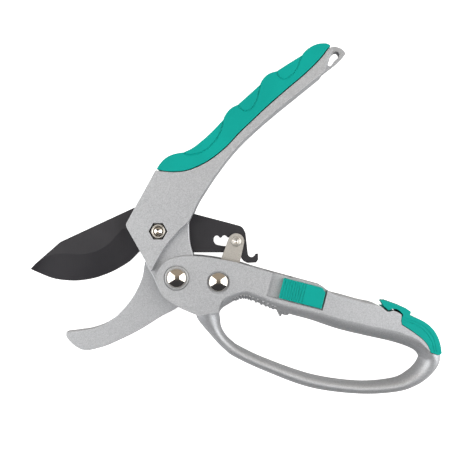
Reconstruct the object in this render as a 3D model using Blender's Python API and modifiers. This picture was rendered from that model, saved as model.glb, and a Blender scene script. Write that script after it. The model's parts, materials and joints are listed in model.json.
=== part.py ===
"""Ratchet pruning shears with a finger loop, wide open and lying on their back.

Metres, +Z up. Outlines are in millimetres about the blade pivot, seen from above, and
heights run up from the ground. At the end the whole object is centred on the origin.
"""

import math

import bmesh
import bpy
from mathutils import Matrix, Vector

MM = 0.001

# Overall reach of each handle from the blade pivot, and where the stretch of it starts.
UPPER_REACH = 131.5
UPPER_DRAWN_REACH = 131.5
UPPER_STRETCH_START = 50.0
UPPER_DIRECTION = Vector((0.707, 0.707))
LOWER_REACH = 144.0
LOWER_DRAWN_REACH = 144.0
LOWER_STRETCH_START = 88.0

# Thickness of each layer, and the clearances between pieces.
BLADE_THICKNESS = 3.0
UPPER_CHEEK = 4.3
LOWER_CHEEK = 3.4
RUNNING_GAP = 0.35
FIT_GAP = 0.3

# Heights, from the ground up.
LOWER_REAR_TOP = LOWER_CHEEK
UPPER_REAR_LOW = LOWER_REAR_TOP + RUNNING_GAP
UPPER_REAR_TOP = UPPER_REAR_LOW + UPPER_CHEEK
BLADE_LOW = UPPER_REAR_TOP + RUNNING_GAP
BLADE_TOP = BLADE_LOW + BLADE_THICKNESS
UPPER_FRONT_LOW = BLADE_TOP + RUNNING_GAP
UPPER_FRONT_TOP = UPPER_FRONT_LOW + UPPER_CHEEK
LOWER_FRONT_LOW = UPPER_FRONT_TOP + RUNNING_GAP
BODY_TOP = LOWER_FRONT_LOW + LOWER_CHEEK
MIDDLE = BODY_TOP / 2

# Pivots, about the blade pivot.
BLADE_PIVOT = Vector((0.0, 0.0))
HANDLE_PIVOT = Vector((9.3, -23.4))
LINK_PIVOT = Vector((30.2, -25.4))
LINK_PIN_PLACE = Vector((39.2, -5.2))

# Castings.
EDGE_ROUND = 1.25
HOOK_STEP_RADIUS = 17.0
HOOK_DEPTH = 6.6
TONGUE_INSET = 4.0
TAB_THICKNESS = 5.2
HOOK_ROUND = 1.0
TAB_ROUND = 0.8
GRIP_ROUND = 1.5

# Blade pivot hardware.
BOLT_RADIUS = 2.2
BOLT_HEAD_RADIUS = 4.6
BOLT_HEAD_HEIGHT = 3.0
BOLT_HEAD_SINK = 0.5
BOLT_HEAD_CHAMFER = 0.5
BOLT_END_SINK = 0.1
BOLT_END_CHAMFER = 0.4
WASHER_THICKNESS = 0.8
NUT_ACROSS_FLATS = 7.4
NUT_HEIGHT = 4.2
NUT_SINK = 0.4
NUT_POCKET_ROOM = 0.4
NUT_TURN = math.pi / 6
BUSH_WALL = 2.1
BUSH_SEAT_DEPTH = 1.5
HEAD_ROOM = 0.4

# Rivets.
RIVET_RADIUS = 3.0
SLEEVE_WALL = 0.8
DOME_RADIUS = 4.9
DOME_HEIGHT = 2.3
DOME_EDGE = 0.4
COUNTERBORE_DEPTH = 1.0
HANDLE_SEAT_MARGIN = 1.5
LINK_SEAT_MARGIN = 0.8
RIVET_WASHER_ROOM = 0.5
RIVET_FOOT_RADIUS = 4.6
RIVET_FOOT_HEIGHT = 1.3
RIVET_FOOT_SINK = 0.2
DOME_WASHER_THICKNESS = 0.5

# Ratchet link and its pin.
LINK_THICKNESS = 2.0
LINK_EYE_WALL = 0.9
LINK_PIN_END_RADIUS = 4.1
PIN_RADIUS = 1.2
PIN_HEAD_RADIUS = 2.5
PIN_HEAD_HEIGHT = 0.8
PIN_HEAD_CHAMFER = 0.4
SPRING_WIRE_RADIUS = 0.5
SPRING_COIL_GAP = 0.1
HANDLE_SPRING_TURNS = 2
LINK_SPRING_TURNS = 2
HANDLE_SPRING_TAIL = 2.5
LINK_SPRING_TAIL = 2.0

# Thumb slider.
SLIDER_PLACE = Vector((72.3, -31.05))
SLIDER_ANGLE = math.radians(-14.5)
SLIDER_LENGTH = 21.9
SLIDER_WIDTH = 10.4
SLIDER_PROUD = 0.9
SLIDER_TRAVEL = 5.5
RECESS_DEPTH = 2.2
STEM_LENGTH = 4.4
STEM_WIDTH = 3.0
STEM_OVERLAP = 0.5
CATCH_REACH = 6.2
CATCH_TIP_LOW = 2.9
CATCH_TIP_TOP = 4.6
RIB_COUNT = 8
RIB_PITCH = 1.4
RIB_DEPTH = 0.5
RIB_START = 0.9
SLIDER_CORNER_CUT = 2.0
SLIDER_ROUND = 0.4
TRACK_ROOM = 0.6
TRACK_FAR_ROOM = 0.9
TRACK_SIDE_OVERRUN = 4.0
STEM_ROOM = 0.4
CATCH_SIDE_ROOM = 0.8
CATCH_CUT_REACH = 14.0
CATCH_SHOULDER = 0.8
CATCH_ROUND = 0.2
CATCH_INSET = 0.2

# Bumper at the end of the lower handle, and the peg that holds it.
BUMPER_INSET = 1.0
BUMPER_ROUND = 1.0
PEG_HALF_DEPTH = 3.0
PEG_START = 117.6
PEG_END = 127.0
PEG_LOW = -48.0
PEG_HIGH = -44.0
PEG_END_ROOM = 3.0
PEG_SIDE_ROOM = 0.6
PEG_ROUND = 0.3

# How far a cutter runs past the face that it opens.
PAST_FACE = 1.0

# How finely round shapes are cut.
ROUND_STEPS = 28
CURVE_STEPS = 3
SPRING_STEPS = 12
DOME_STEPS = 5


def stretch_upper(points):
    """Carries the far part of the upper handle's outlines out to its reach."""
    drawn = UPPER_DRAWN_REACH - UPPER_STRETCH_START
    extra = (UPPER_REACH - UPPER_STRETCH_START) / drawn - 1.0
    moved = []
    for x, y, *kind in points:
        past = max(0.0, Vector((x, y)).dot(UPPER_DIRECTION) - UPPER_STRETCH_START)
        shift = UPPER_DIRECTION * past * extra
        moved.append((x + shift.x, y + shift.y, *kind))
    return moved


def stretch_lower(points):
    """Carries the far part of the lower handle's outlines out to its reach."""
    drawn = LOWER_DRAWN_REACH - LOWER_STRETCH_START
    extra = (LOWER_REACH - LOWER_STRETCH_START) / drawn - 1.0
    return [
        (x + max(0.0, x - LOWER_STRETCH_START) * extra, y, *rest)
        for x, y, *rest in points
    ]


# Outlines. A point is (x, y), and a sharp corner ends in "corner".
BODY_OUTLINE = stretch_upper([
    (-1.3, 30.6, "corner"), (-15.2, 5.3, "corner"), (-16.0, 3.2), (-15.2, 0.9, "corner"),
    (-3.4, -20.0, "corner"), (0.0, -13.4), (2.8, -8.7), (7.0, -3.3), (11.3, 1.2),
    (15.4, 4.9, "corner"), (17.3, 9.0), (19.1, 13.2), (23.3, 20.3), (32.3, 33.4),
    (40.7, 43.6), (49.2, 51.9), (59.7, 61.0), (70.3, 69.6), (83.5, 80.3, "corner"),
    (84.2, 83.6), (85.9, 87.6), (87.8, 91.2, "corner"), (86.9, 92.4, "corner"), (85.2, 91.2),
    (82.6, 87.8), (79.2, 84.0), (72.8, 77.9), (66.4, 72.5), (60.1, 67.1), (53.7, 61.4),
    (47.3, 55.3), (40.9, 49.2), (34.6, 42.5), (29.5, 38.1), (24.4, 34.6), (19.3, 32.0),
    (14.0, 30.2), (8.8, 29.6), (3.6, 29.8),
])
TONGUE_OUTLINE = stretch_upper([
    (1.5, 30.0, "corner"), (3.0, 33.6), (7.5, 36.0), (13.0, 36.8), (20.0, 40.4), (28.5, 48.0),
    (36.0, 57.4), (47.0, 66.6), (56.0, 75.0), (66.0, 81.6), (74.0, 87.4), (78.4, 89.8),
    (81.4, 89.8, "corner"), (82.4, 84.0, "corner"), (60.0, 64.0, "corner"),
    (36.0, 41.0, "corner"), (20.0, 28.0, "corner"),
])
TAB_OUTLINE = stretch_upper([
    (78.0, 84.0, "corner"), (85.4, 92.6), (88.2, 94.2), (91.2, 94.0), (93.7, 92.7),
    (95.2, 90.8, "corner"), (93.3, 88.5), (84.0, 80.8, "corner"), (76.0, 78.0, "corner"),
])
HANGING_HOLE = stretch_upper([
    (90.2, 91.8), (91.7, 91.0), (91.8, 89.6), (89.6, 87.2), (86.4, 84.5), (86.5, 86.7),
    (88.1, 90.2),
])
GRIP_OUTLINE = stretch_upper([
    (-0.7, 31.2, "corner"), (1.1, 34.0), (3.7, 36.6), (6.6, 38.2), (9.8, 39.1),
    (12.8, 39.5, "corner"), (17.1, 41.6), (21.6, 45.0), (26.7, 49.6), (32.6, 55.8, "corner"),
    (33.3, 57.6), (34.6, 59.6), (36.7, 61.7), (40.0, 63.4, "corner"), (44.6, 67.5),
    (51.0, 73.3, "corner"), (51.7, 75.0), (53.0, 76.8), (55.4, 78.8), (59.5, 80.2, "corner"),
    (63.7, 82.9), (72.0, 88.1, "corner"), (73.1, 89.6), (75.2, 91.5), (78.4, 93.3),
    (82.1, 94.1), (85.0, 93.8), (86.4, 92.8, "corner"), (84.9, 91.6), (82.3, 88.2),
    (78.9, 84.4), (72.5, 78.3), (66.1, 72.9), (59.8, 67.5), (53.4, 61.8), (47.0, 55.7),
    (40.6, 49.6), (34.3, 42.9), (29.2, 38.5), (24.1, 35.0), (19.0, 32.4), (13.9, 30.6),
    (8.8, 30.0), (3.6, 30.2),
])
NECK_OUTLINE = [
    (-3.4, -19.6, "corner"), (-10.0, 4.0, "corner"), (10.0, 12.0, "corner"),
    (15.2, 6.0, "corner"), (15.3, 0.4), (15.8, -6.1), (17.4, -12.2),
    (18.9, -23.4), (16.1, -30.2), (9.3, -33.0), (2.5, -30.2), (-0.2, -24.6),
]
HOOK_OUTLINE = [
    (-3.4, -19.6, "corner"), (-7.9, -15.8, "corner"), (-8.8, -22.0), (-11.9, -31.4),
    (-19.9, -41.0), (-27.8, -46.2), (-41.0, -51.3), (-47.2, -51.9), (-48.6, -53.4),
    (-47.6, -56.6), (-41.4, -61.4), (-35.7, -61.2), (-25.1, -58.7), (-14.6, -54.2),
    (-4.0, -48.6), (9.8, -38.6), (18.2, -28.0), (9.3, -15.0, "corner"),
]
BLADE_SWEEP = [
    (-64.0, -10.6, "corner"), (-9.0, 16.6, "corner"), (0.0, 18.0, "corner"),
    (9.6, 18.6, "corner"), (36.6, 26.0, "corner"), (56.0, 18.0, "corner"),
    (56.0, -70.0, "corner"), (-64.0, -70.0, "corner"),
]
BLADE_BACK = [
    (-51.0, -5.5), (-13.5, 11.9), (-7.0, 14.1), (0.0, 15.0), (8.0, 13.2),
    (17.1, 9.1), (38.8, 3.4), (42.2, 2.1), (44.0, -0.8), (45.3, -12.0), (47.2, -13.4),
    (48.6, -12.7), (49.1, -11.7), (50.4, -11.5), (50.5, -14.6), (49.4, -16.1),
    (45.0, -16.3), (43.0, -15.2), (41.2, -11.6), (32.2, -10.9), (17.6, -10.9),
    (10.0, -12.0), (0.0, -14.6),
]
BLADE_EDGE = [
    (-67.2, -19.6), (-61.2, -22.3), (-55.9, -24.3), (-50.7, -25.3), (-44.4, -25.7),
    (-39.2, -25.3), (-33.9, -24.3), (-29.8, -23.0), (-24.6, -20.9), (-19.3, -18.0),
    (-15.1, -15.1), (-10.7, -10.6),
]
GRIND_LINE = [
    (-63.2, -15.6), (-58.8, -12.2), (-53.6, -11.3), (-48.5, -11.2), (-44.4, -11.6),
    (-40.3, -11.7), (-36.6, -11.3), (-33.2, -10.4), (-28.0, -8.1), (-23.9, -4.5),
    (-20.3, -3.0), (-13.0, -6.0),
]
SLOT_OUTLINE = [
    (27.6, -4.4), (28.4, -2.6), (29.6, -2.3), (31.2, -3.4), (32.6, -2.3), (33.6, -2.2),
    (35.1, -3.3), (36.4, -2.2), (37.6, -2.1), (39.0, -3.2), (40.0, -3.2), (41.0, -4.2),
    (41.3, -5.4), (41.0, -6.6), (39.6, -7.2), (30.0, -7.2), (28.4, -6.4),
]
LOWER_OUTLINE = stretch_lower([
    (-0.8, -24.0), (0.2, -19.4), (3.8, -15.3), (8.2, -13.3), (13.0, -12.5), (17.9, -12.4),
    (24.2, -12.9), (31.3, -14.0), (40.2, -15.8), (47.4, -18.0), (66.0, -23.2),
    (82.6, -27.7, "corner"), (87.9, -31.4), (94.0, -33.1), (103.2, -35.7), (111.6, -37.8),
    (115.2, -40.2), (118.0, -39.8), (121.8, -41.6, "corner"), (121.8, -46.4, "corner"),
    (128.4, -50.7), (134.4, -55.7), (136.4, -60.6, "corner"), (137.0, -66.0, "corner"),
    (133.2, -64.6), (130.6, -60.2), (123.5, -57.2), (114.1, -55.0), (101.6, -52.5),
    (89.1, -49.3), (76.5, -45.3), (66.5, -42.6), (61.6, -43.8, "corner"), (58.0, -39.6),
    (52.8, -37.6), (46.1, -34.9), (42.6, -34.2), (39.1, -35.2), (35.6, -37.1),
    (31.6, -41.4, "corner"), (22.0, -43.6, "corner"), (16.4, -40.4), (11.0, -37.9),
    (6.4, -35.4), (2.9, -32.9), (0.4, -28.8),
])
CAVITY_OUTLINE = [
    (13.5, -60.0, "corner"), (18.6, -34.0, "corner"), (24.0, -31.4, "corner"),
    (46.0, -31.4, "corner"), (66.6, -33.6, "corner"), (69.8, -10.0, "corner"),
    (69.8, 20.0, "corner"), (-30.0, 20.0, "corner"), (-30.0, -60.0, "corner"),
]
# The loop's bar: a point on its middle line, and half its width there.
LOOP_BAR = stretch_lower([
    (24.4, -36.4, 4.6), (25.9, -42.2, 4.6), (27.7, -46.4, 3.75), (29.5, -50.3, 3.0),
    (32.0, -54.7, 2.8), (35.4, -58.8, 2.9), (39.8, -61.9, 3.0), (53.2, -68.2, 3.0),
    (77.2, -76.8, 3.3), (101.6, -80.2, 3.2), (120.5, -79.0, 3.5), (130.0, -75.2, 4.1),
    (136.2, -69.6, 4.5), (138.2, -64.4, 4.9), (137.2, -58.0, 3.4),
])
LOOP_DEPTH_SHARE = 1.75
BUMPER_OUTLINE = stretch_lower([
    (111.4, -34.7, "corner"), (112.4, -34.3, "corner"), (124.0, -38.4, "corner"),
    (126.7, -40.3, "corner"), (126.1, -42.3, "corner"), (133.0, -45.1), (137.0, -48.2),
    (139.8, -52.2), (141.4, -56.6), (142.1, -61.1, "corner"), (141.0, -62.1, "corner"),
    (136.7, -60.8, "corner"), (134.4, -56.0), (128.4, -50.7), (122.2, -46.6, "corner"),
    (121.9, -44.2), (122.8, -41.9, "corner"), (121.0, -39.8), (118.2, -38.8),
    (115.4, -39.6, "corner"), (113.0, -37.2, "corner"),
])
# The finger ridges follow the loop's upper inner edge.
SERRATION_LINE = [(39.8, -34.7), (42.8, -33.9), (46.4, -34.7), (51.6, -36.8), (56.4, -38.7)]
SERRATION_RADIUS = 0.9
SERRATION_HALF_DEPTH = 5.0
SERRATION_SIDES = 8


def material(name, color, roughness, metallic):
    made = bpy.data.materials.new(name)
    made.use_nodes = True
    shader = made.node_tree.nodes["Principled BSDF"]
    shader.inputs["Base Color"].default_value = (*color, 1.0)
    shader.inputs["Roughness"].default_value = roughness
    shader.inputs["Metallic"].default_value = metallic
    made.diffuse_color = (*color, 1.0)
    return made


def place(obj, collection, parent, look=None):
    """Puts a piece in its collection, on its joint, with its material."""
    collection.objects.link(obj)
    if look:
        obj.data.materials.clear()
        obj.data.materials.append(look)
    obj.parent = parent
    obj.matrix_parent_inverse = parent.matrix_world.inverted()
    return obj


def as_cutter(obj):
    obj.hide_render = True
    obj.display_type = "WIRE"
    return obj


def joint_empty(name, spot, height, parent):
    empty = bpy.data.objects.new(name, None)
    bpy.context.scene.collection.objects.link(empty)
    empty.location = (spot.x * MM, spot.y * MM, height * MM)
    empty.parent = parent
    bpy.context.view_layer.update()
    return empty


def mesh_from_curve(curve, name, matrix, flat=False):
    """The curve's evaluated shape as a welded mesh object, with whole caps if it is flat."""
    guide = bpy.data.objects.new(name + "_guide", curve)
    guide.matrix_world = matrix
    bpy.context.scene.collection.objects.link(guide)
    bpy.context.view_layer.update()
    graph = bpy.context.evaluated_depsgraph_get()
    mesh = bpy.data.meshes.new_from_object(guide.evaluated_get(graph))
    mesh.name = name
    shape = bmesh.new()
    shape.from_mesh(mesh)
    shape.transform(matrix)
    bmesh.ops.remove_doubles(shape, verts=shape.verts, dist=1e-6)
    if flat:
        bmesh.ops.dissolve_limit(
            shape, angle_limit=math.radians(0.5), verts=shape.verts, edges=shape.edges
        )
    bmesh.ops.recalc_face_normals(shape, faces=shape.faces)
    shape.to_mesh(mesh)
    shape.free()
    bpy.data.objects.remove(guide)
    return bpy.data.objects.new(name, mesh)


def plate(name, outlines, low, high, rounding=0.0, grow=0.0, spot=(0.0, 0.0), turn=0.0):
    """A flat piece between two heights, its outlines in millimetres."""
    curve = bpy.data.curves.new(name, "CURVE")
    curve.dimensions = "2D"
    curve.fill_mode = "BOTH"
    curve.extrude = (high - low) / 2 * MM
    curve.offset = grow * MM
    curve.resolution_u = CURVE_STEPS
    for points in outlines:
        spline = curve.splines.new("BEZIER")
        spline.bezier_points.add(len(points) - 1)
        spline.use_cyclic_u = True
        for knot, (x, y, *kind) in zip(spline.bezier_points, points):
            knot.co = (x * MM, y * MM, 0.0)
            knot.handle_left_type = "VECTOR" if kind else "AUTO"
            knot.handle_right_type = knot.handle_left_type
    lift = Matrix.Translation((spot[0] * MM, spot[1] * MM, (low + high) / 2 * MM))
    obj = mesh_from_curve(curve, name, lift @ Matrix.Rotation(turn, 4, "Z"), True)
    if rounding:
        bevel = obj.modifiers.new("Rounded edges", "BEVEL")
        bevel.width = rounding * MM
        bevel.segments = 2
        bevel.limit_method = "ANGLE"
        bevel.angle_limit = math.radians(40.0)
    return obj


def rectangle(x_low, x_high, y_low, y_high):
    return [
        (x_low, y_low, "corner"), (x_high, y_low, "corner"),
        (x_high, y_high, "corner"), (x_low, y_high, "corner"),
    ]


def cylinder(name, spot, radius, low, high, sides=ROUND_STEPS, turn=0.0):
    bpy.ops.mesh.primitive_cylinder_add(
        vertices=sides,
        radius=radius * MM,
        depth=(high - low) * MM,
        location=(spot.x * MM, spot.y * MM, (low + high) / 2 * MM),
        rotation=(0.0, 0.0, turn),
    )
    obj = bpy.context.object
    obj.name = name
    obj.data.name = name
    obj.users_collection[0].objects.unlink(obj)
    return obj


def turned(name, profile, spot, closed=False):
    """A turned piece: radius and height pairs, from the top down the outer side."""
    mesh = bpy.data.meshes.new(name)
    shape = bmesh.new()
    ring = [shape.verts.new((radius * MM, 0.0, height * MM)) for radius, height in profile]
    for start, end in zip(ring, ring[1:] + (ring[:1] if closed else [])):
        shape.edges.new((start, end))
    shape.to_mesh(mesh)
    shape.free()
    obj = bpy.data.objects.new(name, mesh)
    obj.location = (spot.x * MM, spot.y * MM, 0.0)
    screw = obj.modifiers.new("Turned", "SCREW")
    screw.steps = ROUND_STEPS
    screw.render_steps = ROUND_STEPS
    screw.use_merge_vertices = True
    screw.merge_threshold = 1e-6
    screw.use_smooth_shade = True
    return obj


def tube_profile(inner, outer, low, high):
    return [(inner, high), (outer, high), (outer, low), (inner, low)]


def boolean(obj, other, operation):
    modifier = obj.modifiers.new(other.name, "BOOLEAN")
    modifier.operation = operation
    modifier.solver = "EXACT"
    modifier.object = other


def coil(name, spot, radius, low, turns, pitch, start, tails):
    """A wire spring about an upright axis, with a straight tail at each end."""
    curve = bpy.data.curves.new(name, "CURVE")
    curve.dimensions = "3D"
    curve.bevel_depth = SPRING_WIRE_RADIUS * MM
    curve.bevel_resolution = 2
    curve.use_fill_caps = True
    points = []
    for step in range(turns * SPRING_STEPS + 1):
        angle = start + 2 * math.pi * step / SPRING_STEPS
        height = low + SPRING_WIRE_RADIUS + pitch * step / SPRING_STEPS
        points.append((radius * math.cos(angle), radius * math.sin(angle), height))
    first, last = Vector(points[0]), Vector(points[-1])
    along = Vector((math.sin(start), -math.cos(start), 0.0))
    points.insert(0, tuple(first + along * tails[0]))
    points.append(tuple(last - along * tails[1]))
    spline = curve.splines.new("POLY")
    spline.points.add(len(points) - 1)
    for knot, (x, y, z) in zip(spline.points, points):
        knot.co = ((spot.x + x) * MM, (spot.y + y) * MM, z * MM, 1.0)
    return bpy.data.objects.new(name, curve)


def smooth_line(points, steps):
    """Points along a smooth curve through the given ones."""
    ends = [points[0], *points, points[-1]]
    line = []
    for p0, p1, p2, p3 in zip(ends, ends[1:], ends[2:], ends[3:]):
        for step in range(steps):
            t = step / steps
            line.append(tuple(
                0.5 * (2 * b + (c - a) * t + (2 * a - 5 * b + 4 * c - d) * t * t
                       + (3 * b - a - 3 * c + d) * t ** 3)
                for a, b, c, d in zip(p0, p1, p2, p3)
            ))
    return line + [points[-1]]


def make_blade(collection, parent, look):
    """The blade, ground on its front face, with its hooked tang."""
    edge = smooth_line(BLADE_EDGE, 2)
    grind = smooth_line(GRIND_LINE, 2)
    mesh = bpy.data.meshes.new("cutting_blade")
    shape = bmesh.new()
    rear = [
        shape.verts.new((x * MM, y * MM, BLADE_LOW * MM)) for x, y in BLADE_BACK + edge[::-1]
    ]
    face = shape.faces.new(rear)
    raised = bmesh.ops.extrude_face_region(shape, geom=[face])["geom"]
    front = [item for item in raised if isinstance(item, bmesh.types.BMVert)]
    bmesh.ops.translate(shape, vec=(0.0, 0.0, BLADE_THICKNESS * MM), verts=front)
    for (x, y), (grind_x, grind_y) in zip(edge, grind):
        corner = min(front, key=lambda v: (v.co.xy - Vector((x, y)) * MM).length)
        corner.co.x = grind_x * MM
        corner.co.y = grind_y * MM
    bmesh.ops.recalc_face_normals(shape, faces=shape.faces)
    shape.to_mesh(mesh)
    shape.free()
    return place(bpy.data.objects.new("cutting_blade", mesh), collection, parent, look)


def loop_bar(name):
    """The finger loop's bar: a bent tube, deeper than it is wide."""
    curve = bpy.data.curves.new(name, "CURVE")
    curve.dimensions = "3D"
    curve.bevel_depth = MM
    curve.bevel_resolution = 3
    curve.use_fill_caps = True
    curve.resolution_u = CURVE_STEPS
    spline = curve.splines.new("BEZIER")
    spline.bezier_points.add(len(LOOP_BAR) - 1)
    for knot, (x, y, half_width) in zip(spline.bezier_points, LOOP_BAR):
        knot.co = (x * MM, y * MM, 0.0)
        knot.handle_left_type = "AUTO"
        knot.handle_right_type = "AUTO"
        knot.radius = half_width
    flat = Matrix.Diagonal((1.0, 1.0, LOOP_DEPTH_SHARE, 1.0))
    return mesh_from_curve(curve, name, Matrix.Translation((0, 0, MIDDLE * MM)) @ flat)


def cutter(obj, parent=None):
    """Hides a blank that cuts or joins, and hangs it on its joint."""
    return as_cutter(place(obj, cutters, parent or frame))


def rivet(name, spot, base, foot_top, parent):
    """A domed rivet: the dome in front, a flat foot behind."""
    dome = [
        (DOME_RADIUS * math.sin(angle), base + DOME_EDGE + DOME_HEIGHT * math.cos(angle))
        for angle in [math.pi / 2 * step / DOME_STEPS for step in range(DOME_STEPS + 1)]
    ]
    profile = dome + [
        (DOME_RADIUS, base), (RIVET_RADIUS, base),
        (RIVET_RADIUS, foot_top), (RIVET_FOOT_RADIUS, foot_top),
        (RIVET_FOOT_RADIUS, RIVET_FOOT_SINK), (0.0, RIVET_FOOT_SINK),
    ]
    return place(turned(name, profile, spot), parts, parent, chrome)


for obj in list(bpy.data.objects):
    bpy.data.objects.remove(obj, do_unlink=True)

parts = bpy.data.collections.new("Ratchet pruning shears")
cutters = bpy.data.collections.new("Cutters")
bpy.context.scene.collection.children.link(parts)
bpy.context.scene.collection.children.link(cutters)
cutters.hide_render = True

paint = material("Silver grey paint", (0.30, 0.31, 0.32), 0.45, 0.7)
teal = material("Teal rubber", (0.0, 0.38, 0.31), 0.5, 0.0)
dark_blade = material("Dark coated steel", (0.045, 0.043, 0.048), 0.35, 0.3)
chrome = material("Polished rivet steel", (0.75, 0.75, 0.76), 0.12, 1.0)
zinc = material("Zinc plated steel", (0.55, 0.55, 0.56), 0.3, 1.0)
spring_steel = material("Spring steel", (0.25, 0.25, 0.26), 0.35, 1.0)

frame = joint_empty("shears_frame", BLADE_PIVOT, 0.0, None)
blade_pivot = joint_empty("blade_pivot", BLADE_PIVOT, BLADE_LOW, frame)
handle_pivot = joint_empty("handle_pivot", HANDLE_PIVOT, MIDDLE, frame)
link_pivot = joint_empty("link_pivot", LINK_PIVOT - HANDLE_PIVOT, 0.0, handle_pivot)
slide_axis = joint_empty("slider_axis", SLIDER_PLACE - HANDLE_PIVOT, 0.0, handle_pivot)


# Sizes of the holes and hardware, from the pieces that go through them.
sleeve_inner = RIVET_RADIUS + FIT_GAP
sleeve_outer = sleeve_inner + SLEEVE_WALL
bush_inner = BOLT_RADIUS + FIT_GAP
bush_outer = bush_inner + BUSH_WALL
pocket_floor = BODY_TOP - NUT_SINK - NUT_HEIGHT - FIT_GAP
head_floor = BOLT_HEAD_SINK + BOLT_HEAD_HEIGHT + FIT_GAP + WASHER_THICKNESS + FIT_GAP
dome_floor = BODY_TOP - COUNTERBORE_DEPTH
foot_floor = RIVET_FOOT_SINK + RIVET_FOOT_HEIGHT + FIT_GAP
handle_seat = DOME_RADIUS + HANDLE_SEAT_MARGIN
link_seat = DOME_RADIUS + LINK_SEAT_MARGIN
link_half_width = sleeve_inner + LINK_EYE_WALL
through_low, through_top = -PAST_FACE, BODY_TOP + PAST_FACE

# Upper handle casting: head, grip tongue, hanging tab, neck and hook.
upper_handle = plate("upper_handle", [BODY_OUTLINE], 0.0, BODY_TOP, EDGE_ROUND)
place(upper_handle, parts, frame, paint)
tongue_low, tongue_top = TONGUE_INSET, BODY_TOP - TONGUE_INSET
tab_low, tab_top = MIDDLE - TAB_THICKNESS / 2, MIDDLE + TAB_THICKNESS / 2
hook = plate("hook_blank", [HOOK_OUTLINE], UPPER_REAR_TOP - HOOK_DEPTH, UPPER_REAR_TOP, HOOK_ROUND)
hook_step = cylinder("hook_step", HANDLE_PIVOT, HOOK_STEP_RADIUS, through_low, UPPER_REAR_LOW)
boolean(hook, cutter(hook_step), "DIFFERENCE")
neck = plate("neck_blank", [NECK_OUTLINE], UPPER_REAR_LOW, UPPER_FRONT_TOP)
tongue = plate("tongue_blank", [TONGUE_OUTLINE], tongue_low, tongue_top)
tab = plate("tab_blank", [TAB_OUTLINE, HANGING_HOLE], tab_low, tab_top, TAB_ROUND)
for blank in (hook, neck, tongue, tab):
    boolean(upper_handle, cutter(blank), "UNION")
slot = plate("blade_slot", [BLADE_SWEEP], UPPER_REAR_TOP, UPPER_FRONT_LOW)
bolt_bore = cylinder("bolt_bore", BLADE_PIVOT, bush_inner, through_low, through_top)
bush_seat = cylinder(
    "bush_seat", BLADE_PIVOT, bush_outer + FIT_GAP,
    UPPER_REAR_TOP - BUSH_SEAT_DEPTH, UPPER_FRONT_LOW + BUSH_SEAT_DEPTH,
)
pocket_radius = (NUT_ACROSS_FLATS / 2 + NUT_POCKET_ROOM) / math.cos(math.pi / 6)
nut_pocket = cylinder(
    "nut_pocket", BLADE_PIVOT, pocket_radius, pocket_floor, through_top, 6, NUT_TURN
)
head_well = cylinder(
    "head_well", BLADE_PIVOT, BOLT_HEAD_RADIUS + HEAD_ROOM, through_low, head_floor
)
sleeve_bore = cylinder(
    "sleeve_bore", HANDLE_PIVOT, sleeve_outer + FIT_GAP, through_low, through_top
)
for hole in (slot, bolt_bore, bush_seat, nut_pocket, head_well, sleeve_bore):
    boolean(upper_handle, cutter(hole), "DIFFERENCE")

# Moulded grip over the tongue.
upper_grip = plate("upper_grip", [GRIP_OUTLINE], 0.0, BODY_TOP, GRIP_ROUND)
place(upper_grip, parts, frame, teal)
tongue_room = plate(
    "tongue_room", [TONGUE_OUTLINE], tongue_low - FIT_GAP, tongue_top + FIT_GAP, 0.0, FIT_GAP
)
tab_room = plate("tab_room", [TAB_OUTLINE], tab_low - FIT_GAP, tab_top + FIT_GAP, 0.0, FIT_GAP)
boolean(upper_grip, cutter(tongue_room), "DIFFERENCE")
boolean(upper_grip, cutter(tab_room), "DIFFERENCE")

# Blade and its pivot.
cutting_blade = make_blade(parts, blade_pivot, dark_blade)
blade_hole = cylinder(
    "blade_hole", BLADE_PIVOT, bush_outer + FIT_GAP, BLADE_LOW - PAST_FACE, BLADE_TOP + PAST_FACE
)
pin_slot = plate(
    "pin_slot", [SLOT_OUTLINE], BLADE_LOW - PAST_FACE, BLADE_TOP + PAST_FACE
)
boolean(cutting_blade, cutter(blade_hole, blade_pivot), "DIFFERENCE")
boolean(cutting_blade, cutter(pin_slot, blade_pivot), "DIFFERENCE")

bolt_end = BODY_TOP - BOLT_END_SINK
bolt_shoulder = BOLT_HEAD_SINK + BOLT_HEAD_HEIGHT
pivot_bolt = turned("pivot_bolt", [
    (0.0, bolt_end), (BOLT_RADIUS - BOLT_END_CHAMFER, bolt_end),
    (BOLT_RADIUS, bolt_end - BOLT_END_CHAMFER),
    (BOLT_RADIUS, bolt_shoulder), (BOLT_HEAD_RADIUS, bolt_shoulder),
    (BOLT_HEAD_RADIUS, BOLT_HEAD_SINK + BOLT_HEAD_CHAMFER),
    (BOLT_HEAD_RADIUS - BOLT_HEAD_CHAMFER, BOLT_HEAD_SINK), (0.0, BOLT_HEAD_SINK),
], BLADE_PIVOT)
place(pivot_bolt, parts, frame, zinc)
pivot_washer = turned("pivot_washer", tube_profile(
    bush_inner, BOLT_HEAD_RADIUS, bolt_shoulder + FIT_GAP,
    bolt_shoulder + FIT_GAP + WASHER_THICKNESS,
), BLADE_PIVOT, True)
place(pivot_washer, parts, frame, zinc)
pivot_bush = turned("pivot_bush", tube_profile(
    bush_inner, bush_outer, UPPER_REAR_TOP - BUSH_SEAT_DEPTH + FIT_GAP,
    UPPER_FRONT_LOW + BUSH_SEAT_DEPTH - FIT_GAP,
), BLADE_PIVOT, True)
place(pivot_bush, parts, frame, zinc)
nut_low = pocket_floor + FIT_GAP
nut_corner = NUT_ACROSS_FLATS / 2 / math.cos(math.pi / 6)
pivot_nut = cylinder(
    "pivot_nut", BLADE_PIVOT, nut_corner, nut_low, nut_low + NUT_HEIGHT, 6, NUT_TURN
)
place(pivot_nut, parts, frame, zinc)
nut_bore = cylinder("nut_bore", BLADE_PIVOT, bush_inner, nut_low - PAST_FACE, through_top)
boolean(pivot_nut, cutter(nut_bore), "DIFFERENCE")

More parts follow.
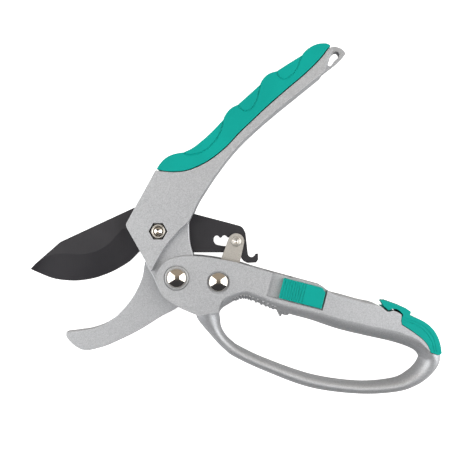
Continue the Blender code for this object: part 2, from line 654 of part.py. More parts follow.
# Lower handle casting: forked body and finger loop.
lower_handle = plate("lower_handle", [LOWER_OUTLINE], 0.0, BODY_TOP, EDGE_ROUND)
place(lower_handle, parts, handle_pivot, paint)
boolean(lower_handle, cutter(loop_bar("loop_blank"), handle_pivot), "UNION")
for index, spot in enumerate(smooth_line(SERRATION_LINE, 2)):
    ridge = cylinder(
        f"serration_{index}", Vector(spot), SERRATION_RADIUS,
        MIDDLE - SERRATION_HALF_DEPTH, MIDDLE + SERRATION_HALF_DEPTH, SERRATION_SIDES,
    )
    boolean(lower_handle, cutter(ridge, handle_pivot), "UNION")
cavity = plate("cavity", [CAVITY_OUTLINE], LOWER_REAR_TOP, LOWER_FRONT_LOW)
rivet_bore = cylinder("rivet_bore", HANDLE_PIVOT, sleeve_inner, through_low, through_top)
dome_seat = cylinder("dome_seat", HANDLE_PIVOT, handle_seat, dome_floor, through_top)
foot_seat_radius = RIVET_FOOT_RADIUS + HEAD_ROOM
foot_seat = cylinder("foot_seat", HANDLE_PIVOT, foot_seat_radius, through_low, foot_floor)
link_bore = cylinder("link_bore", LINK_PIVOT, sleeve_inner, through_low, through_top)
link_dome_seat = cylinder("link_dome_seat", LINK_PIVOT, link_seat, dome_floor, through_top)
link_foot_seat = cylinder(
    "link_foot_seat", LINK_PIVOT, foot_seat_radius, through_low, foot_floor
)
recess_floor = BODY_TOP - RECESS_DEPTH
half_length, half_width = SLIDER_LENGTH / 2, SLIDER_WIDTH / 2
recess = plate("slider_recess", [rectangle(
    -half_length - SLIDER_TRAVEL - TRACK_ROOM, half_length + TRACK_FAR_ROOM,
    -half_width - TRACK_ROOM, half_width + TRACK_SIDE_OVERRUN,
)], recess_floor, through_top, 0.0, 0.0, SLIDER_PLACE, SLIDER_ANGLE)
catch_low, catch_top = BLADE_LOW + CATCH_INSET, BLADE_TOP - CATCH_INSET
stem_slot = plate("stem_slot", [rectangle(
    -STEM_LENGTH / 2 - SLIDER_TRAVEL - STEM_ROOM, STEM_LENGTH / 2 + STEM_ROOM,
    -STEM_WIDTH / 2 - STEM_ROOM, STEM_WIDTH / 2 + STEM_ROOM,
)], MIDDLE, recess_floor + PAST_FACE, 0.0, 0.0, SLIDER_PLACE, SLIDER_ANGLE)
catch_room = plate("catch_room", [rectangle(
    -CATCH_CUT_REACH, STEM_LENGTH / 2 + CATCH_SIDE_ROOM,
    -STEM_WIDTH / 2 - CATCH_SIDE_ROOM, half_width + TRACK_SIDE_OVERRUN + PAST_FACE,
)], catch_low - FIT_GAP, catch_top + FIT_GAP, 0.0, 0.0, SLIDER_PLACE, SLIDER_ANGLE)
bumper_seat = plate("bumper_seat", [BUMPER_OUTLINE], through_low, through_top, 0.0, FIT_GAP)
bumper_slot = plate("bumper_slot", [stretch_lower(rectangle(
    PEG_START - PEG_SIDE_ROOM, PEG_END + PEG_END_ROOM,
    PEG_LOW - PEG_SIDE_ROOM, PEG_HIGH + PEG_SIDE_ROOM,
))], MIDDLE - PEG_HALF_DEPTH - FIT_GAP, MIDDLE + PEG_HALF_DEPTH + FIT_GAP)
for hole in (cavity, rivet_bore, dome_seat, foot_seat, link_bore, link_dome_seat,
             link_foot_seat, recess, stem_slot, catch_room, bumper_seat, bumper_slot):
    boolean(lower_handle, cutter(hole, handle_pivot), "DIFFERENCE")

# Handle rivet with its sleeve, washer and spring; link rivet with its spacers.
dome_base = dome_floor + FIT_GAP + DOME_WASHER_THICKNESS + FIT_GAP


rivet("handle_rivet", HANDLE_PIVOT, dome_base, foot_floor - FIT_GAP, handle_pivot)
rivet("link_rivet", LINK_PIVOT, dome_floor + FIT_GAP, foot_floor - FIT_GAP, handle_pivot)
place(turned("rivet_washer", tube_profile(
    sleeve_inner, handle_seat - RIVET_WASHER_ROOM, dome_floor + FIT_GAP, dome_base - FIT_GAP
), HANDLE_PIVOT, True), parts, handle_pivot, zinc)
place(turned("handle_sleeve", tube_profile(
    sleeve_inner, sleeve_outer, UPPER_REAR_LOW, UPPER_FRONT_TOP
), HANDLE_PIVOT, True), parts, handle_pivot, zinc)
spring_pitch = 2 * SPRING_WIRE_RADIUS + SPRING_COIL_GAP
spring_room = UPPER_FRONT_LOW - UPPER_REAR_TOP
spring_height = 2 * SPRING_WIRE_RADIUS + HANDLE_SPRING_TURNS * spring_pitch
place(coil(
    "handle_spring", HANDLE_PIVOT, sleeve_outer + FIT_GAP + SPRING_WIRE_RADIUS,
    UPPER_REAR_TOP + (spring_room - spring_height) / 2, HANDLE_SPRING_TURNS, spring_pitch,
    0.0, (HANDLE_SPRING_TAIL, HANDLE_SPRING_TAIL),
), parts, frame, spring_steel)

link_low, link_top = BLADE_LOW - RUNNING_GAP - LINK_THICKNESS, BLADE_TOP + RUNNING_GAP
link_turn = math.atan2(*(LINK_PIN_PLACE - LINK_PIVOT).yx)
link_web = [
    (LINK_PIN_PLACE.x - 3.7, LINK_PIN_PLACE.y + 1.8, "corner"), (31.5, -14.2, "corner"),
    (LINK_PIVOT.x - 3.2, LINK_PIVOT.y + 2.7, "corner"),
    (LINK_PIVOT.x, LINK_PIVOT.y - 3.5, "corner"),
    (LINK_PIVOT.x + 4.4, LINK_PIVOT.y - 1.8, "corner"), (39.4, -21.5, "corner"),
    (41.1, -15.6, "corner"), (LINK_PIN_PLACE.x + 4.0, LINK_PIN_PLACE.y - 0.9, "corner"),
]
for name, low in (("link_front", link_top), ("link_rear", link_low)):
    top = low + LINK_THICKNESS
    side = plate(name, [link_web], low, top)
    place(side, parts, link_pivot, zinc)
    for end, radius in ((LINK_PIVOT, link_half_width), (LINK_PIN_PLACE, LINK_PIN_END_RADIUS)):
        boolean(side, cutter(cylinder(name + "_end", end, radius, low, top), link_pivot), "UNION")
    for end, radius in ((LINK_PIVOT, sleeve_inner), (LINK_PIN_PLACE, PIN_RADIUS + FIT_GAP)):
        hole = cylinder(name + "_hole", end, radius, low - PAST_FACE, top + PAST_FACE)
        boolean(side, cutter(hole, link_pivot), "DIFFERENCE")
pin_top = link_top + LINK_THICKNESS + FIT_GAP
pin_low = link_low - FIT_GAP
link_pin = turned("link_pin", [
    (0.0, pin_top + PIN_HEAD_HEIGHT),
    (PIN_HEAD_RADIUS - PIN_HEAD_CHAMFER, pin_top + PIN_HEAD_HEIGHT),
    (PIN_HEAD_RADIUS, pin_top + PIN_HEAD_HEIGHT - PIN_HEAD_CHAMFER),
    (PIN_HEAD_RADIUS, pin_top),
    (PIN_RADIUS, pin_top), (PIN_RADIUS, pin_low), (PIN_HEAD_RADIUS, pin_low),
    (PIN_HEAD_RADIUS, pin_low - PIN_HEAD_HEIGHT), (0.0, pin_low - PIN_HEAD_HEIGHT),
], LINK_PIN_PLACE)
place(link_pin, parts, link_pivot, zinc)
for name, low, top in (
    ("link_washer_front", link_top + LINK_THICKNESS + FIT_GAP, LOWER_FRONT_LOW - FIT_GAP),
    ("link_washer_rear", LOWER_REAR_TOP + FIT_GAP, link_low - FIT_GAP),
):
    washer = turned(name, tube_profile(sleeve_inner, link_half_width, low, top), LINK_PIVOT, True)
    place(washer, parts, link_pivot, zinc)
link_spring_height = 2 * SPRING_WIRE_RADIUS + LINK_SPRING_TURNS * spring_pitch
place(coil(
    "link_spring", LINK_PIVOT, RIVET_RADIUS + FIT_GAP + SPRING_WIRE_RADIUS,
    MIDDLE - link_spring_height / 2, LINK_SPRING_TURNS, spring_pitch,
    link_turn + math.pi / 2, (LINK_SPRING_TAIL, LINK_SPRING_TAIL),
), parts, link_pivot, spring_steel)

# Ribbed thumb slider with its stem, and the steel catch under it.
slider_low = recess_floor + FIT_GAP
slider_top = BODY_TOP + SLIDER_PROUD
lock_slider = plate("lock_slider", [[
    (-half_length, -half_width, "corner"), (half_length, -half_width, "corner"),
    (half_length, half_width - SLIDER_CORNER_CUT, "corner"),
    (half_length - SLIDER_CORNER_CUT, half_width, "corner"),
    (-half_length, half_width, "corner"),
]], slider_low, slider_top, SLIDER_ROUND, 0.0, SLIDER_PLACE, SLIDER_ANGLE)
place(lock_slider, parts, slide_axis, teal)
stem = plate("stem_blank", [rectangle(
    -STEM_LENGTH / 2, STEM_LENGTH / 2, -STEM_WIDTH / 2, STEM_WIDTH / 2
)], catch_top + FIT_GAP, slider_low + STEM_OVERLAP, 0.0, 0.0, SLIDER_PLACE, SLIDER_ANGLE)
boolean(lock_slider, cutter(stem, slide_axis), "UNION")
for index in range(RIB_COUNT):
    start = -half_length + RIB_START + index * RIB_PITCH
    groove = plate(
        f"rib_groove_{index}",
        [rectangle(start, start + RIB_PITCH / 2, -SLIDER_WIDTH, SLIDER_WIDTH)],
        slider_top - RIB_DEPTH, slider_top + PAST_FACE, 0.0, 0.0, SLIDER_PLACE, SLIDER_ANGLE,
    )
    boolean(lock_slider, cutter(groove, slide_axis), "DIFFERENCE")
lock_catch = plate("lock_catch", [[
    (-CATCH_SHOULDER, -STEM_WIDTH / 2, "corner"),
    (STEM_LENGTH / 2, -STEM_WIDTH / 2, "corner"),
    (STEM_LENGTH / 2, CATCH_TIP_TOP, "corner"), (-CATCH_REACH, CATCH_TIP_TOP, "corner"),
    (-CATCH_REACH, CATCH_TIP_LOW, "corner"), (-CATCH_SHOULDER, CATCH_TIP_LOW, "corner"),
]], catch_low, catch_top, CATCH_ROUND, 0.0, SLIDER_PLACE, SLIDER_ANGLE)
place(lock_catch, parts, slide_axis, zinc)

# Moulded bumper at the end of the lower handle, with its snap tongue and peg.
end_bumper = plate(
    "end_bumper", [BUMPER_OUTLINE], BUMPER_INSET, BODY_TOP - BUMPER_INSET, BUMPER_ROUND
)
place(end_bumper, parts, handle_pivot, teal)
peg = plate("bumper_peg", [stretch_lower(rectangle(PEG_START, PEG_END, PEG_LOW, PEG_HIGH))],
            MIDDLE - PEG_HALF_DEPTH, MIDDLE + PEG_HALF_DEPTH, PEG_ROUND)
boolean(end_bumper, cutter(peg, handle_pivot), "UNION")

# The bounding box of all of it goes over the origin, on the ground.
bpy.context.view_layer.update()
graph = bpy.context.evaluated_depsgraph_get()
corners = [
    obj.matrix_world @ vert.co
    for obj in parts.objects
    for vert in obj.evaluated_get(graph).to_mesh().vertices
]
low = Vector(min(corner[axis] for corner in corners) for axis in range(3))
high = Vector(max(corner[axis] for corner in corners) for axis in range(3))
frame.location -= Vector(((low.x + high.x) / 2, (low.y + high.y) / 2, low.z))
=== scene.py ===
"""Ratchet pruning shears with a finger loop: the finished look of every visible piece.

Lengths are in millimetres about the blade pivot until a piece is placed.
"""
import json
import math

import bmesh
import bpy
from mathutils import Matrix, Vector


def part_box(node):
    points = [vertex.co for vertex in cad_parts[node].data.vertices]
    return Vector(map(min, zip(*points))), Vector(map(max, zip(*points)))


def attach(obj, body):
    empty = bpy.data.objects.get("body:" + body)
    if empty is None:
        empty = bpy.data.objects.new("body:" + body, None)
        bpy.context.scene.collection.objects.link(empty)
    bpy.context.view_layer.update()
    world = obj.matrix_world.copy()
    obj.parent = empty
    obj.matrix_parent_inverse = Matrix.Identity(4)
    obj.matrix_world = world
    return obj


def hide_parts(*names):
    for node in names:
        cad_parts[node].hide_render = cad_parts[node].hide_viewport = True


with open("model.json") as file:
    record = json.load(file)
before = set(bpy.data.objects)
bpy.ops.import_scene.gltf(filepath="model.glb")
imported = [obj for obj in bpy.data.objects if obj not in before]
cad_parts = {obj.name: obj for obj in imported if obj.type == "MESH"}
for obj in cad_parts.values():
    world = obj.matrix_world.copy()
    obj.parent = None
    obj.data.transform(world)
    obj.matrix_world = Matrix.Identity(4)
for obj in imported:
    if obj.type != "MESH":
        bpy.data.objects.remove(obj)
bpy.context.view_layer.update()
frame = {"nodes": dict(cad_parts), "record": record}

MM = 0.001
JOINTS = {joint["name"]: joint for joint in frame["record"]["behaviour"]["joints"]}
PIVOT = Vector(JOINTS["blade_swing"]["pos_m"])


def height(node, end):
    """The lowest (0) or highest (1) level of a node, in millimetres."""
    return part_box(node)[end][2] / MM


def spot_of(joint):
    """A joint's axis in millimetres from the blade pivot."""
    place = Vector(JOINTS[joint]["pos_m"]) - PIVOT
    return place.x / MM, place.y / MM


TOP = height("upper_handle", 1)
MIDDLE = TOP / 2
HANDLE_SPOT = spot_of("handle_squeeze")
LINK_SPOT = spot_of("link_swing")
PIN_LOW, PIN_HIGH = (Vector(corner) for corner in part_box("link_pin"))
PIN_SPOT = ((PIN_LOW + PIN_HIGH) / 2 - PIVOT).xy / MM
BLADE_LOW = height("cutting_blade", 0)
BLADE_TOP = height("cutting_blade", 1)
NECK_LOW, NECK_TOP = height("handle_sleeve", 0), height("handle_sleeve", 1)
RUNNING_GAP = 0.35
FIT_GAP = 0.3
SLOT_LOW, SLOT_TOP = BLADE_LOW - RUNNING_GAP, BLADE_TOP + RUNNING_GAP
NECK_SPOT = (0.0, 0.0)
VIEW_MIDDLE = (34.0, 2.65)
SLIDER_SPOT = (72.3, -31.05)
SLIDER_TURN = math.radians(-14.5)
EDGE_ROUND = 1.7
CURVE_STEPS = 9
SLIVER = 4e-6
PAST = 1.0
HEX_TURN = math.pi / 6

# Outlines: (x, y) on a smooth line, or (x, y, 1) at a corner.
BODY = [
    (-1.3, 30.6, 1), (-15.2, 5.3, 1), (-16.0, 3.2), (-15.2, 0.9, 1), (-3.4, -20.0, 1),
    (0.0, -13.4), (2.8, -8.7), (7.0, -3.3), (11.3, 1.2), (15.4, 4.9, 1), (17.3, 9.0), (19.1, 13.2),
    (23.3, 20.3), (32.3, 33.4), (40.7, 43.6), (49.2, 51.9), (59.7, 61.0), (70.3, 69.6),
    (83.5, 80.3, 1), (84.2, 83.6), (85.9, 87.6), (87.8, 91.2, 1), (86.9, 92.4, 1), (85.2, 91.2),
    (82.6, 87.8), (79.2, 84.0), (72.8, 77.9), (66.4, 72.5), (60.1, 67.1), (53.7, 61.4),
    (47.3, 55.3), (40.9, 49.2), (34.6, 42.5), (29.5, 38.1), (24.4, 34.6), (19.3, 32.0),
    (14.0, 30.2), (8.8, 29.6), (3.6, 29.8),
]
TONGUE = [
    (1.5, 30.0, 1), (3.0, 33.6), (7.5, 36.0), (13.0, 36.8), (20.0, 40.4), (28.5, 48.0),
    (36.0, 57.4), (47.0, 66.6), (56.0, 75.0), (66.0, 81.6), (74.0, 87.4), (78.4, 89.8),
    (81.4, 89.8, 1), (82.4, 84.0, 1), (60.0, 64.0, 1), (36.0, 41.0, 1), (20.0, 28.0, 1),
]
TAB = [
    (78.0, 84.0, 1), (85.4, 92.6), (88.2, 94.2), (91.2, 94.0), (93.7, 92.7), (95.2, 90.8, 1),
    (93.3, 88.5), (84.0, 80.8, 1), (76.0, 78.0, 1),
]
TAB_HOLE = [
    (90.2, 91.8), (91.7, 91.0), (91.8, 89.6), (89.6, 87.2), (86.4, 84.5), (86.5, 86.7),
    (88.1, 90.2),
]
GRIP = [
    (-0.7, 31.2, 1), (1.1, 34.0), (3.7, 36.6), (6.6, 38.2), (9.8, 39.1), (12.8, 39.5, 1),
    (17.1, 41.6), (21.6, 45.0), (26.7, 49.6), (32.6, 55.8, 1), (33.3, 57.6), (34.6, 59.6),
    (36.7, 61.7), (40.0, 63.4, 1), (44.6, 67.5), (51.0, 73.3, 1), (51.7, 75.0), (53.0, 76.8),
    (55.4, 78.8), (59.5, 80.2, 1), (63.7, 82.9), (72.0, 88.1, 1), (73.1, 89.6), (75.2, 91.5),
    (78.4, 93.3), (82.1, 94.1), (85.0, 93.8), (86.4, 92.8, 1), (84.9, 91.6), (82.3, 88.2),
    (78.9, 84.4), (72.5, 78.3), (66.1, 72.9), (59.8, 67.5), (53.4, 61.8), (47.0, 55.7),
    (40.6, 49.6), (34.3, 42.9), (29.2, 38.5), (24.1, 35.0), (19.0, 32.4), (13.9, 30.6),
    (8.8, 30.0), (3.6, 30.2),
]
GRIP_CREASES = [
    [(11.8, 40.7), (13.5, 39.4), (17.5, 39.4), (22.5, 41.0), (27.4, 45.2), (30.9, 50.5),
     (32.4, 55.0), (32.8, 57.4)],
    [(40.0, 65.4), (41.4, 62.9), (43.9, 61.6), (47.0, 62.9), (49.5, 66.9), (51.1, 72.6),
     (51.6, 75.6)],
    [(59.8, 82.6), (61.0, 79.4), (63.5, 78.0), (67.4, 79.8), (70.2, 83.4), (72.1, 88.0),
     (73.2, 90.8)],
]
NECK = [
    (-6.4, -17.2, 1), (-10.0, 4.0, 1), (10.0, 12.0, 1), (15.2, 6.0, 1), (15.3, 0.4),
    (15.8, -6.1), (17.4, -12.2), (18.9, -23.4), (16.1, -30.2), (9.3, -34.5), (3.6, -34.0),
    (0.2, -30.0), (-2.6, -23.6),
]
HOOK = [
    (-3.4, -19.6, 1), (-7.9, -15.8, 1), (-8.5, -19.0), (-9.2, -23.2), (-11.3, -28.7),
    (-14.4, -34.3), (-19.3, -40.5), (-25.5, -46.1), (-33.9, -50.0), (-42.5, -51.6),
    (-48.8, -52.3, 1), (-48.8, -54.1), (-46.7, -57.2), (-42.9, -60.3), (-40.1, -61.5),
    (-31.1, -60.3), (-20.0, -55.8), (-10.3, -50.9), (0.1, -44.4), (9.8, -38.8),
    (18.2, -28.0), (9.3, -15.0, 1),
]
BLADE_SWEEP = [
    (-64.0, -10.6, 1), (-9.0, 16.6, 1), (0.0, 18.0, 1), (9.6, 18.6, 1), (36.6, 26.0, 1),
    (56.0, 18.0, 1), (56.0, -70.0, 1), (-64.0, -70.0, 1),
]
# The ring round the finger opening: x, y, half width and half depth.
LOOP_RING = [
    (24.6, -41.2, 6.2, 8.8), (26.4, -46.4, 4.9, 7.4), (28.6, -50.9, 3.5, 6.2),
    (31.7, -55.2, 2.95, 5.4), (35.4, -58.8, 2.9, 5.2), (39.8, -61.9, 3.0, 5.2),
    (53.2, -68.2, 3.0, 5.3), (77.2, -76.8, 3.3, 5.6), (101.6, -80.2, 3.2, 5.6),
    (120.5, -79.0, 3.5, 6.0), (130.0, -75.2, 4.1, 6.8), (136.0, -69.8, 4.6, 7.8),
    (138.4, -64.2, 5.1, 9.0), (135.6, -58.6, 5.2, 9.6), (130.0, -54.0, 6.0, 9.89),
    (120.0, -50.2, 6.4, 9.89), (107.0, -47.4, 6.3, 9.89), (92.5, -44.0, 6.2, 9.89),
    (79.0, -40.3, 5.4, 9.89), (68.0, -37.8, 4.9, 9.89), (59.6, -35.5, 4.5, 9.89),
    (54.4, -33.5, 4.4, 9.89), (47.2, -30.6, 4.4, 9.89), (42.6, -29.8, 4.4, 9.89),
    (37.6, -31.1, 4.4, 9.89), (33.0, -33.6, 4.5, 9.8), (29.4, -35.7, 4.7, 9.5),
    (26.8, -38.6, 4.9, 9.1),
]
CAVITY = [
    (13.5, -60.0, 1), (18.6, -34.0, 1), (24.0, -31.4, 1), (46.0, -31.4, 1),
    (66.6, -33.6, 1), (69.8, -10.0, 1), (69.8, 20.0, 1), (-30.0, 20.0, 1),
    (-30.0, -60.0, 1),
]
BUMPER = [
    (111.4, -34.7, 1), (112.4, -34.3, 1), (124.0, -38.4, 1), (126.7, -40.3, 1),
    (126.1, -42.3, 1), (133.0, -45.1), (137.0, -48.2), (139.8, -52.2), (141.4, -56.6),
    (142.1, -61.1, 1), (141.0, -62.1, 1), (136.7, -60.8, 1), (134.4, -56.0), (128.4, -50.7),
    (122.2, -46.6, 1), (121.9, -44.2), (122.8, -41.9, 1), (121.0, -39.8), (118.2, -38.8),
    (115.4, -39.6, 1), (113.0, -37.2, 1),
]
BLADE_BACK = [
    (-51.0, -5.5, 1), (-13.5, 11.9, 1), (-7.0, 14.1), (0.0, 15.0), (8.0, 13.2),
    (17.1, 9.1, 1), (38.8, 3.4, 1), (42.2, 2.1), (44.0, -0.8, 1), (45.1, -10.6, 1),
    (45.5, -12.4), (47.2, -13.4), (48.6, -12.7), (49.1, -11.7, 1), (50.4, -11.5, 1),
    (50.5, -14.6, 1), (49.4, -16.1, 1), (45.0, -16.3, 1), (43.0, -15.2), (41.6, -13.2),
    (41.2, -11.2, 1), (32.2, -10.9, 1), (17.6, -10.9, 1),
    (10.0, -12.0), (0.0, -14.6),
]
BLADE_EDGE = [
    (-10.7, -10.6, 1), (-15.1, -15.1), (-19.3, -18.0), (-24.6, -20.9), (-29.8, -23.0),
    (-33.9, -24.3), (-39.2, -25.3), (-44.4, -25.7), (-50.7, -25.3), (-55.9, -24.3),
    (-61.2, -22.3), (-67.2, -19.6, 1),
]
GRIND_LINE = [
    (-12.4, -4.0), (-18.0, 1.2), (-21.6, -1.6), (-25.6, -6.0), (-31.0, -9.6),
    (-35.6, -11.2), (-40.3, -11.8), (-44.4, -11.7), (-48.8, -11.4), (-54.0, -11.8),
    (-59.0, -13.6), (-64.0, -16.9),
]
PIN_SLOT = [
    (27.6, -4.4), (28.4, -2.6), (29.6, -2.3), (31.2, -3.4), (32.6, -2.3), (33.6, -2.2),
    (35.1, -3.3), (36.4, -2.2), (37.6, -2.1), (39.0, -3.2), (40.0, -3.2), (41.0, -4.2),
    (41.3, -5.4), (41.0, -6.6), (39.6, -7.2), (30.0, -7.2), (28.4, -6.4),
]


# ---------------------------------------------------------------- materials

def new_material(name, color, roughness, metallic=0.0):
    """A shader with its own nodes; returns the material, its tree and its shader."""
    material = bpy.data.materials.new(name)
    material.use_nodes = True
    tree = material.node_tree
    shader = tree.nodes["Principled BSDF"]
    shader.inputs["Base Color"].default_value = (*color, 1.0)
    shader.inputs["Roughness"].default_value = roughness
    shader.inputs["Metallic"].default_value = metallic
    return material, tree, shader


def object_noise(tree, scale, detail=2.0, stretch=(1.0, 1.0, 1.0)):
    """Noise over the object's own coordinates."""
    where = tree.nodes.new("ShaderNodeTexCoord")
    mapping = tree.nodes.new("ShaderNodeMapping")
    mapping.inputs["Scale"].default_value = stretch
    noise = tree.nodes.new("ShaderNodeTexNoise")
    noise.inputs["Scale"].default_value = scale
    noise.inputs["Detail"].default_value = detail
    tree.links.new(where.outputs["Object"], mapping.inputs["Vector"])
    tree.links.new(mapping.outputs["Vector"], noise.inputs["Vector"])
    return noise.outputs["Fac"]


def color_between(tree, factor, low, high, start=0.35, end=0.65):
    """Two colours spread over a noise."""
    ramp = tree.nodes.new("ShaderNodeValToRGB")
    ramp.color_ramp.elements[0].position = start
    ramp.color_ramp.elements[0].color = (*low, 1.0)
    ramp.color_ramp.elements[1].position = end
    ramp.color_ramp.elements[1].color = (*high, 1.0)
    tree.links.new(factor, ramp.inputs["Fac"])
    return ramp.outputs["Color"]


def spread(tree, factor, low, high):
    """A number that runs from low to high over a noise."""
    ranged = tree.nodes.new("ShaderNodeMapRange")
    ranged.inputs["From Min"].default_value = 0.3
    ranged.inputs["From Max"].default_value = 0.7
    ranged.inputs["To Min"].default_value = low
    ranged.inputs["To Max"].default_value = high
    tree.links.new(factor, ranged.inputs["Value"])
    return ranged.outputs["Result"]


def add_bump(tree, shader, factor, strength, distance):
    bump = tree.nodes.new("ShaderNodeBump")
    bump.inputs["Strength"].default_value = strength
    bump.inputs["Distance"].default_value = distance
    tree.links.new(factor, bump.inputs["Height"])
    tree.links.new(bump.outputs["Normal"], shader.inputs["Normal"])


def silver_paint():
    """Silver-grey paint with metal flake, slightly pebbled over the casting."""
    material, tree, shader = new_material("Silver flake paint", (0.45, 0.46, 0.48), 0.48, 0.55)
    flake = object_noise(tree, 2400.0, 2.0)
    cloud = object_noise(tree, 40.0, 2.0)
    grain = color_between(tree, flake, (0.33, 0.34, 0.355), (0.5, 0.512, 0.53), 0.3, 0.7)
    shade = color_between(tree, cloud, (0.97, 0.97, 0.975), (1.0, 1.0, 1.0))
    mix = tree.nodes.new("ShaderNodeMix")
    mix.data_type = "RGBA"
    mix.blend_type = "MULTIPLY"
    mix.inputs["Factor"].default_value = 1.0
    tree.links.new(grain, mix.inputs["A"])
    tree.links.new(shade, mix.inputs["B"])
    tree.links.new(mix.outputs["Result"], shader.inputs["Base Color"])
    tree.links.new(spread(tree, flake, 0.42, 0.56), shader.inputs["Roughness"])
    add_bump(tree, shader, object_noise(tree, 1600.0, 2.0), 0.25, 0.00005)
    return material


def teal_rubber():
    """Satin moulded rubber, faintly leathery."""
    material, tree, shader = new_material("Teal moulded rubber", (0.0, 0.37, 0.3), 0.5)
    cloud = object_noise(tree, 45.0, 3.0)
    color = color_between(tree, cloud, (0.0, 0.285, 0.245), (0.0, 0.315, 0.27))
    tree.links.new(color, shader.inputs["Base Color"])
    tree.links.new(spread(tree, cloud, 0.45, 0.55), shader.inputs["Roughness"])
    add_bump(tree, shader, object_noise(tree, 1400.0, 2.0), 0.2, 0.00004)
    shader.inputs["Specular IOR Level"].default_value = 0.12
    return material


def coated_steel():
    """Dark non-stick coating, with faint grinding marks across the blade."""
    material, tree, shader = new_material("Dark coated steel", (0.025, 0.024, 0.027), 0.5, 0.0)
    cloud = object_noise(tree, 40.0, 3.0)
    color = color_between(tree, cloud, (0.018, 0.0175, 0.021), (0.026, 0.025, 0.029))
    tree.links.new(color, shader.inputs["Base Color"])
    marks = object_noise(tree, 500.0, 3.0, (3.0, 0.25, 1.0))
    tree.links.new(spread(tree, marks, 0.44, 0.58), shader.inputs["Roughness"])
    add_bump(tree, shader, marks, 0.12, 0.00003)
    shader.inputs["Specular IOR Level"].default_value = 0.3
    return material


def polished_steel():
    material, tree, shader = new_material("Polished nickel", (0.76, 0.72, 0.66), 0.08, 1.0)
    smudge = object_noise(tree, 250.0, 2.0)
    tree.links.new(spread(tree, smudge, 0.05, 0.13), shader.inputs["Roughness"])
    add_bump(tree, shader, object_noise(tree, 90.0, 1.0), 0.05, 0.00003)
    return material


def plated_steel():
    """Satin nickel plated steel, slightly warm."""
    material, tree, shader = new_material("Nickel plated steel", (0.62, 0.6, 0.56), 0.3, 0.9)
    brush = object_noise(tree, 2600.0, 2.0)
    color = color_between(tree, brush, (0.56, 0.54, 0.5), (0.66, 0.64, 0.6))
    tree.links.new(color, shader.inputs["Base Color"])
    tree.links.new(spread(tree, brush, 0.3, 0.38), shader.inputs["Roughness"])
    add_bump(tree, shader, brush, 0.1, 0.00003)
    return material


def spring_wire():
    material, tree, shader = new_material("Spring wire", (0.3, 0.29, 0.28), 0.35, 0.9)
    stain = object_noise(tree, 300.0, 3.0)
    color = color_between(tree, stain, (0.22, 0.21, 0.2), (0.36, 0.35, 0.34))
    tree.links.new(color, shader.inputs["Base Color"])
    add_bump(tree, shader, stain, 0.1, 0.00003)
    return material


def satin_ring():
    """Blasted aluminium, close to the paint in colour."""
    material, tree, shader = new_material("Blasted aluminium", (0.5, 0.51, 0.52), 0.42, 0.7)
    grain = object_noise(tree, 2200.0, 2.0)
    color = color_between(tree, grain, (0.4, 0.41, 0.42), (0.56, 0.57, 0.58))
    tree.links.new(color, shader.inputs["Base Color"])
    add_bump(tree, shader, grain, 0.1, 0.00003)
    return material


def pocket_shade():
    """Painted shade: a dark colour on the nut pocket's walls, standing in for the shadow inside
    the deep pocket.
    """
    material, tree, shader = new_material("Painted pocket shade", (0.015, 0.014, 0.013), 0.5)
    shade_tone = object_noise(tree, 400.0, 2.0)
    color = color_between(tree, shade_tone, (0.01, 0.01, 0.009), (0.03, 0.027, 0.024))
    tree.links.new(color, shader.inputs["Base Color"])
    return material


PAINT = silver_paint()
TEAL = teal_rubber()
DARK = coated_steel()
POLISHED = polished_steel()
PLATED = plated_steel()
WIRE = spring_wire()
SATIN = satin_ring()
# Painted shade for the walls of the nut's pocket.
POCKET_SHADE = pocket_shade()


# ---------------------------------------------------------------- modelling tools

def only(obj):
    """Leaves just this object selected and active."""
    bpy.ops.object.select_all(action="DESELECT")
    obj.select_set(True)
    bpy.context.view_layer.objects.active = obj


def settle(obj):
    """Brings a piece's place into its mesh."""
    only(obj)
    bpy.ops.object.transform_apply(location=True, rotation=True, scale=True)
    return obj


def weld(obj):
    """Merges doubles, joins flat triangles and turns faces outwards."""
    only(obj)
    bpy.ops.object.mode_set(mode="EDIT")
    bpy.ops.mesh.select_all(action="SELECT")
    bpy.ops.mesh.remove_doubles(threshold=1e-6)
    bpy.ops.mesh.dissolve_limited(angle_limit=math.radians(0.3))
    bpy.ops.mesh.normals_make_consistent(inside=False)
    bpy.ops.object.mode_set(mode="OBJECT")
    return obj


def drawn(name, rings, low, high, grow=0.0, spot=(0.0, 0.0), turn=0.0):
    """A flat curve through each ring of points, given a thickness and made a mesh."""
    bpy.ops.object.select_all(action="DESELECT")
    bpy.ops.curve.primitive_bezier_circle_add(radius=MM)
    obj = bpy.context.object
    obj.name = name
    curve = obj.data
    curve.splines.clear()
    curve.dimensions = "2D"
    curve.fill_mode = "BOTH"
    curve.resolution_u = CURVE_STEPS
    curve.extrude = (high - low) / 2 * MM
    curve.offset = grow * MM
    for ring in rings:
        spline = curve.splines.new("BEZIER")
        spline.bezier_points.add(len(ring) - 1)
        spline.use_cyclic_u = True
        for knot, (x, y, *corner) in zip(spline.bezier_points, ring):
            knot.co = (x * MM, y * MM, 0.0)
            knot.handle_left_type = "VECTOR" if corner else "AUTO"
            knot.handle_right_type = knot.handle_left_type
    obj.location = (PIVOT.x + spot[0] * MM, PIVOT.y + spot[1] * MM, (low + high) / 2 * MM)
    obj.rotation_euler.z = turn
    bpy.ops.object.convert(target="MESH")
    return weld(settle(bpy.context.object))


